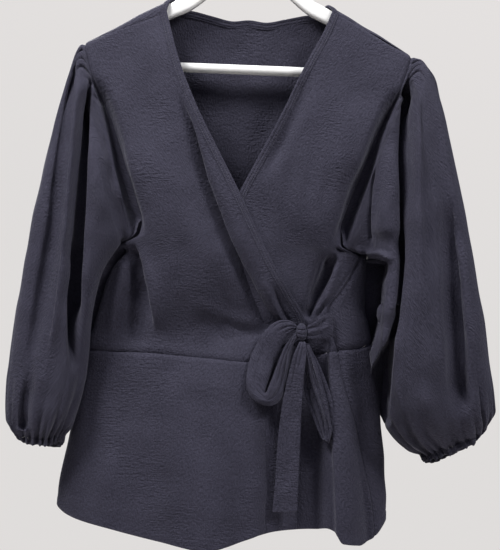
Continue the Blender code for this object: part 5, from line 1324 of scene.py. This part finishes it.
# ---------------------------------------------------------------- bow and ties
def ribbon(name, table, furrows, cup, lift, seed, material):
    """A tie's band of doubled cloth with rounded edges, cupped and creased along its length.

    A furrow is (share across, half-width as a share, depth, start, end), the last two as shares of its length.
    """
    share = np.linspace(0, 1, 4)
    ax, ad, bx, bd = (np.array(table[key], float)[:, None] for key in ("ax", "ad", "bx", "bd"))
    x, down = ax + (bx - ax) * share, ad + (bd - ad) * share
    if "out" in table:
        out = np.array(table["out"], float)[:, None] + 0 * x
    else:
        out = np.maximum(front_depth(x, down), TIE_FLOOR) + np.array(table["off"], float)[:, None]
    grid = curve_through(np.stack([x, -out, -down], axis=-1), RIBBON_TIMES[0])
    grid = curve_through(grid.transpose(1, 0, 2), RIBBON_TIMES[1]).transpose(1, 0, 2)
    normals = normals_of(grid)
    if np.mean(normals[..., 1]) > 0:
        normals = -normals
    rows, columns = grid.shape[:2]
    along, across = np.mgrid[0:1 : rows * 1j, 0:1 : columns * 1j]
    clear = np.sin(math.pi * np.clip(along, 0.002, 0.998)) ** 0.6
    change = (cup * abs(2 * across - 1) ** 2.5 + lift) * clear
    draw = np.random.default_rng(seed)
    for centre, half, deep, start, end in furrows:
        wander = centre + 0.03 * np.sin(along * draw.uniform(6, 12) + draw.uniform(0, 6))
        inside = ramp((along - start) / 0.08) * ramp((end - along) / 0.08)
        change = change + deep * bell((across - wander) / half) * inside
    change = change + uneven(grid[..., 0] * 3, lengths_along(grid, 0) * 2, seed, 0.35)
    points = grid + normals * change[..., None]
    thick = TIE_THICK * np.sqrt(np.clip(1 - abs(2 * across - 1) ** 6, 0.05, 1))
    cloth(name, points, normals_of(points, like=normals), thick, material, soft_ends=("first", "last"))


def bow_knot(material):
    """The wrapped knot, with the grooves where the tie passes round it."""
    middle_x, half_x = (KNOT["left"] + KNOT["right"]) / 2, (KNOT["right"] - KNOT["left"]) / 2
    rings = []
    turn = np.linspace(0, 2 * math.pi, 72, endpoint=False)
    for share in np.linspace(0, 1, 45):
        swell = 0.55 + 0.45 * math.sin(math.pi * (0.04 + 0.92 * share)) ** 0.7
        swell *= math.sqrt(max(1 - abs(2 * share - 1) ** 5, 0.12))
        lean = share - 0.5 + 0.10 * np.sin(turn)
        reach = swell - sum(deep * bell((lean - at) / wide) for at, wide, deep in KNOT_GROOVES)
        x = middle_x + half_x * reach * np.cos(turn) + 1.2 * (share - 0.5)
        y = KNOT["half_deep"] * reach * np.sin(turn) - KNOT["out"]
        down = KNOT["top"] + (KNOT["bottom"] - KNOT["top"]) * share
        rings.append(np.stack([x, y, 0 * x - down], axis=1))
    tipped("bow_knot", rings, material)


# ---------------------------------------------------------------- hanger
def arm_section(x, top, bottom):
    """A section of the arm: a rounded oblong, 7 points to a corner."""
    half, level, ring = ARM_THICK / 2 - ARM_CORNER, {1: -top - ARM_CORNER, -1: ARM_CORNER - bottom}, []
    for y_sign, z_sign, start in ((1, 1, 90), (1, -1, 0), (-1, -1, -90), (-1, 1, -180)):
        for turn in (math.radians(start - 15 * step) for step in range(7)):
            y, z = ARM_CORNER * math.cos(turn), ARM_CORNER * math.sin(turn)
            ring.append((x, y_sign * half + y, level[z_sign] + z))
    return ring


def hanger(white, steel):
    stations = np.array([ARM["x"], ARM["top"], ARM["bottom"]], float).T
    right = np.concatenate([curve_through(stations[:8], 8), stations[8:]])
    left = right[:0:-1] * np.array([-1, 1, 1])
    tipped("hanger_arms", [arm_section(*station) for station in np.concatenate([left, right])], white, False)
    lug = ARM["x"][7] - SEAM_GAP
    turn = np.linspace(0, 2 * math.pi, 48, endpoint=False)
    places = [-lug, -lug + 0.6, *np.linspace(-lug + 6, lug - 6, 40), lug - 0.6, lug]
    bar = []
    for x in places:
        radius = BAR_R * (0.9 if abs(x) == lug else 1.0)
        bar.append(np.stack([0 * turn + x, -radius * np.sin(turn), radius * np.cos(turn) - BAR_DOWN], axis=1))
    tipped("hanger_bar", bar, white, False)
    centre_down = HOOK_R - HOOK_WIRE_R
    stem_top = centre_down + HOOK_R
    path = [(0.0, ARM["top"][0] - SEAM_GAP), (0.0, stem_top + 3.5), (2.6, stem_top - 0.2)]
    for angle in np.radians(np.linspace(-66, 200, 20)):
        path.append((HOOK_R * math.cos(angle), centre_down - HOOK_R * math.sin(angle)))
    path = curve_through(path, 6)
    turn = np.linspace(0, 2 * math.pi, 24, endpoint=False)
    rings = []
    for i, ((x, down), (dx, dd)) in enumerate(zip(path, unit(np.gradient(path, axis=0)))):
        radius = HOOK_WIRE_R * math.sqrt(1 - (1 - min(len(path) - 1 - i, 3) / 3.4) ** 2)
        across = radius * np.cos(turn)
        rings.append(np.stack([x - dd * across, radius * np.sin(turn), -(down + dx * across)], axis=1))
    tipped("hanger_hook", rings, steel, False)


# ---------------------------------------------------------------- materials
class Nodes:
    """A node tree, with short ways to add and join nodes. surface is the node that the others feed."""

    def __init__(self, tree, surface):
        self.tree, self.surface = tree, tree.nodes[surface]

    def feed(self, socket, value):
        if isinstance(value, bpy.types.NodeSocket):
            self.tree.links.new(value, socket)
        else:
            socket.default_value = (*value, 1) if socket.type == "RGBA" else value

    def show(self, **feeds):
        """Sets or joins the surface's sockets; a space in a socket's name is written as _."""
        for key, value in feeds.items():
            self.feed(self.surface.inputs[key.replace("_", " ")], value)

    def add(self, kind, feeds=(), **settings):
        """A node with its settings, and what goes into its sockets by their names or numbers."""
        node = self.tree.nodes.new("ShaderNode" + kind)
        for key, value in settings.items():
            setattr(node, key, value)
        for key, value in dict(feeds).items():
            self.feed(node.inputs[key], value)
        return node

    def times(self, first, second):
        return self.add("Math", {0: first, 1: second}, operation="MULTIPLY").outputs[0]

    def plus(self, *parts):
        """The sum of pairs of a value and its weight."""
        total, *rest = (self.times(*part) for part in parts)
        for part in rest:
            total = self.add("Math", {0: total, 1: part}, operation="ADD").outputs[0]
        return total

    def grain(self, across, along, turn=0.0):
        """The cloth's own coordinates, turned and scaled: how many to the metre across and along."""
        source = self.add("UVMap", uv_map="grain").outputs[0]
        feeds = {"Vector": source, "Rotation": (0, 0, math.radians(turn)), "Scale": (across, along, 1)}
        return self.add("Mapping", feeds, vector_type="POINT").outputs[0]

    def noise(self, where, detail=2.0, rough=0.5, bent=0.0):
        feeds = {"Vector": where, "Scale": 1.0, "Detail": detail, "Roughness": rough, "Distortion": bent}
        return self.add("TexNoise", feeds).outputs["Fac"]

    def spread(self, value, low, high, to_low=0.0, to_high=1.0):
        feeds = {"Value": value, "From Min": low, "From Max": high, "To Min": to_low, "To Max": to_high}
        return self.add("MapRange", feeds).outputs[0]

    def bump(self, height):
        """height is in metres."""
        node = self.add("Bump", {"Strength": 1.0, "Distance": 1.0, "Height": height})
        self.show(Normal=node.outputs[0])

    def mix(self, dark, light, share):
        return self.add("Mix", {0: share, 6: dark, 7: light}, data_type="RGBA").outputs[2]


def new_material(name, slot=""):
    material = bpy.data.materials.new(name)
    material["slot"] = slot
    material.use_nodes = True
    return material, Nodes(material.node_tree, "Principled BSDF")


def crepe_material():
    """Bubbly polyester crepe: fine ribs down the cloth, broken by pebbles and by patches of cross ripples."""
    material, nodes = new_material("dark_crepe", "crepe")
    ribs = nodes.noise(nodes.grain(500, 220), 2.0, 0.5, 0.1)
    pebbles = nodes.noise(nodes.grain(420, 400, 28), 2.0, 0.55, 0.2)
    weave = nodes.noise(nodes.grain(1500, 1300), 1.0, 0.5)
    ripples = nodes.noise(nodes.grain(110, 400, 4), 2.0, 0.5, 0.2)
    patches = nodes.spread(nodes.noise(nodes.grain(14, 11), 1.0), 0.46, 0.60)
    nodes.bump(nodes.plus((ribs, 0.0012), (pebbles, 0.0010), (weave, 0.00006),
                          (nodes.times(ripples, patches), 0.0018)))
    mottle = nodes.noise(nodes.grain(26, 20), 3.0, 0.6)
    share = nodes.plus((mottle, 0.22), (nodes.plus((pebbles, 0.5), (ribs, 0.5)), 0.78))
    nodes.show(Base_Color=nodes.mix(CREPE_DARK, CREPE_LIGHT, nodes.spread(share, 0.36, 0.64)),
               Roughness=nodes.spread(weave, 0.3, 0.7, 0.72, 0.86), Specular_IOR_Level=0.12,
               Sheen_Weight=0.10, Sheen_Roughness=0.45, Sheen_Tint=(0.80, 0.80, 0.92))
    return material


def thread_material():
    material, nodes = new_material("crepe_thread", "crepe")
    where = nodes.add("TexCoord").outputs["Object"]
    twist = nodes.noise(nodes.add("VectorMath", {0: where, "Scale": 2500.0}, operation="SCALE").outputs[0], 1.0)
    nodes.bump(nodes.times(twist, 0.00005))
    nodes.show(Base_Color=nodes.mix(CREPE_DARK, CREPE_LIGHT, nodes.spread(twist, 0.3, 0.7)), Roughness=0.55,
               Sheen_Weight=0.2)
    return material


def lacquer_material():
    """White satin lacquer on wood, slightly uneven, with a trace of the grain beneath."""
    material, nodes = new_material("satin_lacquer", "white_lacquer")
    fibre = nodes.noise(nodes.grain(900, 40), 3.0, 0.6, 0.2)
    brushed = nodes.noise(nodes.grain(120, 90), 2.0, 0.5)
    nodes.bump(nodes.plus((fibre, 0.00003), (brushed, 0.00008)))
    nodes.show(Base_Color=nodes.mix(*LACQUER, nodes.spread(brushed, 0.3, 0.7)),
               Roughness=nodes.spread(fibre, 0.3, 0.7, 0.30, 0.40), Coat_Weight=0.3, Coat_Roughness=0.18)
    return material


def steel_material():
    """Brushed steel wire, drawn lengthwise."""
    material, nodes = new_material("brushed_steel", "steel")
    lines = nodes.noise(nodes.grain(6000, 120), 2.0, 0.6)
    nodes.bump(nodes.times(lines, 0.00001))
    nodes.show(Base_Color=nodes.mix(*STEEL, nodes.spread(lines, 0.3, 0.7)),
               Roughness=nodes.spread(lines, 0.3, 0.7, 0.22, 0.34), Metallic=1.0)
    return material


# ---------------------------------------------------------------- the view
def put(name, data):
    thing = bpy.data.objects.new(name, data)
    bpy.context.scene.collection.objects.link(thing)
    return thing


def floor():
    turn = np.linspace(0, 2 * math.pi, 96, endpoint=False)
    rim = np.stack([FLOOR_R * np.cos(turn), FLOOR_R * np.sin(turn), 0 * turn + FLOOR_LEVEL], axis=1)
    mesh = bpy.data.meshes.new("floor")
    mesh.from_pydata(rim.tolist(), [], [list(range(len(rim)))])
    paint, nodes = new_material("floor_paint")
    where = nodes.add("TexCoord").outputs["Object"]
    nodes.show(Base_Color=nodes.mix(*FLOOR_PAINT, nodes.noise(where, 2.0)), Roughness=0.8)
    mesh.materials.append(paint)
    put("floor", mesh)


def room():
    """A pale room, which lights the garment more softly and more coolly than it shows."""
    world = bpy.data.worlds.new("pale_room")
    bpy.context.scene.world = world
    world.use_nodes = True
    nodes = Nodes(world.node_tree, "Background")
    where = nodes.add("TexCoord").outputs["Generated"]
    slope = nodes.add("VectorMath", {0: where, 1: ROOM_SLOPE}, operation="DOT_PRODUCT").outputs["Value"]
    seen = nodes.add("LightPath").outputs["Is Camera Ray"]
    height = nodes.add("SeparateXYZ", {0: where}).outputs["Z"]
    overhead = nodes.spread(height, 0.0, 1.0, ROOM_LOW, ROOM_HIGH)
    nodes.show(Color=nodes.mix(ROOM_SHADE, nodes.mix(ROOM_DARK, ROOM_LIGHT, slope), seen),
               Strength=nodes.spread(seen, 0.0, 1.0, overhead, 1.0))


def lamps():
    for name, place, size, watts in LAMPS:
        lamp = bpy.data.lights.new(name, "AREA")
        lamp.shape, lamp.size, lamp.energy = "DISK", size, watts
        holder = put(name, lamp)
        holder.location = place
        holder.rotation_euler = (Vector(LAMP_AIM) - holder.location).to_track_quat("-Z", "Y").to_euler()
        holder.visible_camera = False


def camera():
    """The camera where the photograph was taken from, with its roll."""
    lens = bpy.data.cameras.new("camera")
    lens.sensor_fit, lens.sensor_width, lens.clip_end = "HORIZONTAL", 36, 50
    lens.lens = lens.sensor_width * CAMERA_FAR / CAMERA_WIDE
    eye = put("camera", lens)
    roll = math.radians(CAMERA_ROLL)
    right, up = (math.cos(roll), 0, math.sin(roll)), (-math.sin(roll), 0, math.cos(roll))
    turn = Matrix((right, up, (0, -1, 0))).transposed().to_4x4()
    eye.matrix_world = Matrix.Translation([v * MM for v in (VIEW_FROM[0], -VIEW_FROM[1], VIEW_FROM[2])]) @ turn
    bpy.context.scene.camera = eye
    bpy.context.scene.view_settings.view_transform = "Standard"


def dress():
    for part in (floor, room, lamps, camera):
        part()
    crepe, thread, white, steel = crepe_material(), thread_material(), lacquer_material(), steel_material()
    over, under = front_grid("left", OVER_EDGE, OVER_COLUMNS), front_grid("right", UNDER_EDGE, UNDER_COLUMNS)
    back = back_grid()
    over_skirt = peplum_grid(over, side_edge("left"), table_edge(PEPLUM_OVER_EDGE))
    under_skirt = peplum_grid(under, side_edge("right"), table_edge(PEPLUM_UNDER_EDGE))
    back_skirt = peplum_grid(back, side_edge("left"), side_edge("right", 2 * math.pi))
    sewn = ("first", "top", "hem")
    left_front = panel("front_over_bodice", over, "over", OVER_CREASES, FRONT_DENSE, 3, sewn, crepe)
    right_front = panel("front_under_bodice", under, "under", UNDER_CREASES, FRONT_DENSE, 5, sewn, crepe)
    whole_back = panel("back_bodice", back, "", BACK_CREASES, BACK_DENSE, 7, (*sewn, "last"), crepe)
    sewn = ("first", "top")
    panel("front_over_peplum", over_skirt, "over", OVER_CREASES, SKIRT_DENSE, 11, sewn, crepe)
    panel("front_under_peplum", under_skirt, "under", UNDER_CREASES, SKIRT_DENSE, 13, sewn, crepe)
    panel("back_peplum", back_skirt, "", BACK_CREASES, SKIRT_DENSE, 17, (*sewn, "last"), crepe)

    mirrored = tuple(part[:, ::-1] for part in whole_back)
    for side, table, folds, creases, front, rear, seed in (
        ("left", SLEEVE_LEFT, SLEEVE_LEFT_FOLDS, SLEEVE_LEFT_CREASES, left_front, whole_back, 2),
        ("right", SLEEVE_RIGHT, SLEEVE_RIGHT_FOLDS, SLEEVE_RIGHT_CREASES, right_front, mirrored, 5),
    ):
        last, fine, out = sleeve(side, table, folds, creases, front, rear, seed, crepe)
        stitching(f"cuff_{side}_stitches", cuff(side, last, fine, out, seed + 20, crepe), thread)

    neck = np.flatnonzero(abs(back_top_x()) < NECK_X + 0.1)
    left_way, right_way = (-1, SHOULDER_SLOPE), (1, SHOULDER_SLOPE)
    for name, angles, levels, layer, end_ways in (
        ("neck_band_over", over[0][:, -1], over[1][:, -1], "over", (left_way, None)),
        ("neck_band_under", under[0][:, -1], under[1][:, -1], "under", (right_way, None)),
        ("neck_band_back", back[0][0, neck], back[1][0, neck], "", (left_way, right_way)),
    ):
        stitching(name + "_stitches", binding(name, angles, levels, layer, end_ways, crepe), thread)
    for tie in TIES:
        ribbon(*tie, crepe)
    bow_knot(crepe)
    hanger(white, steel)


dress()
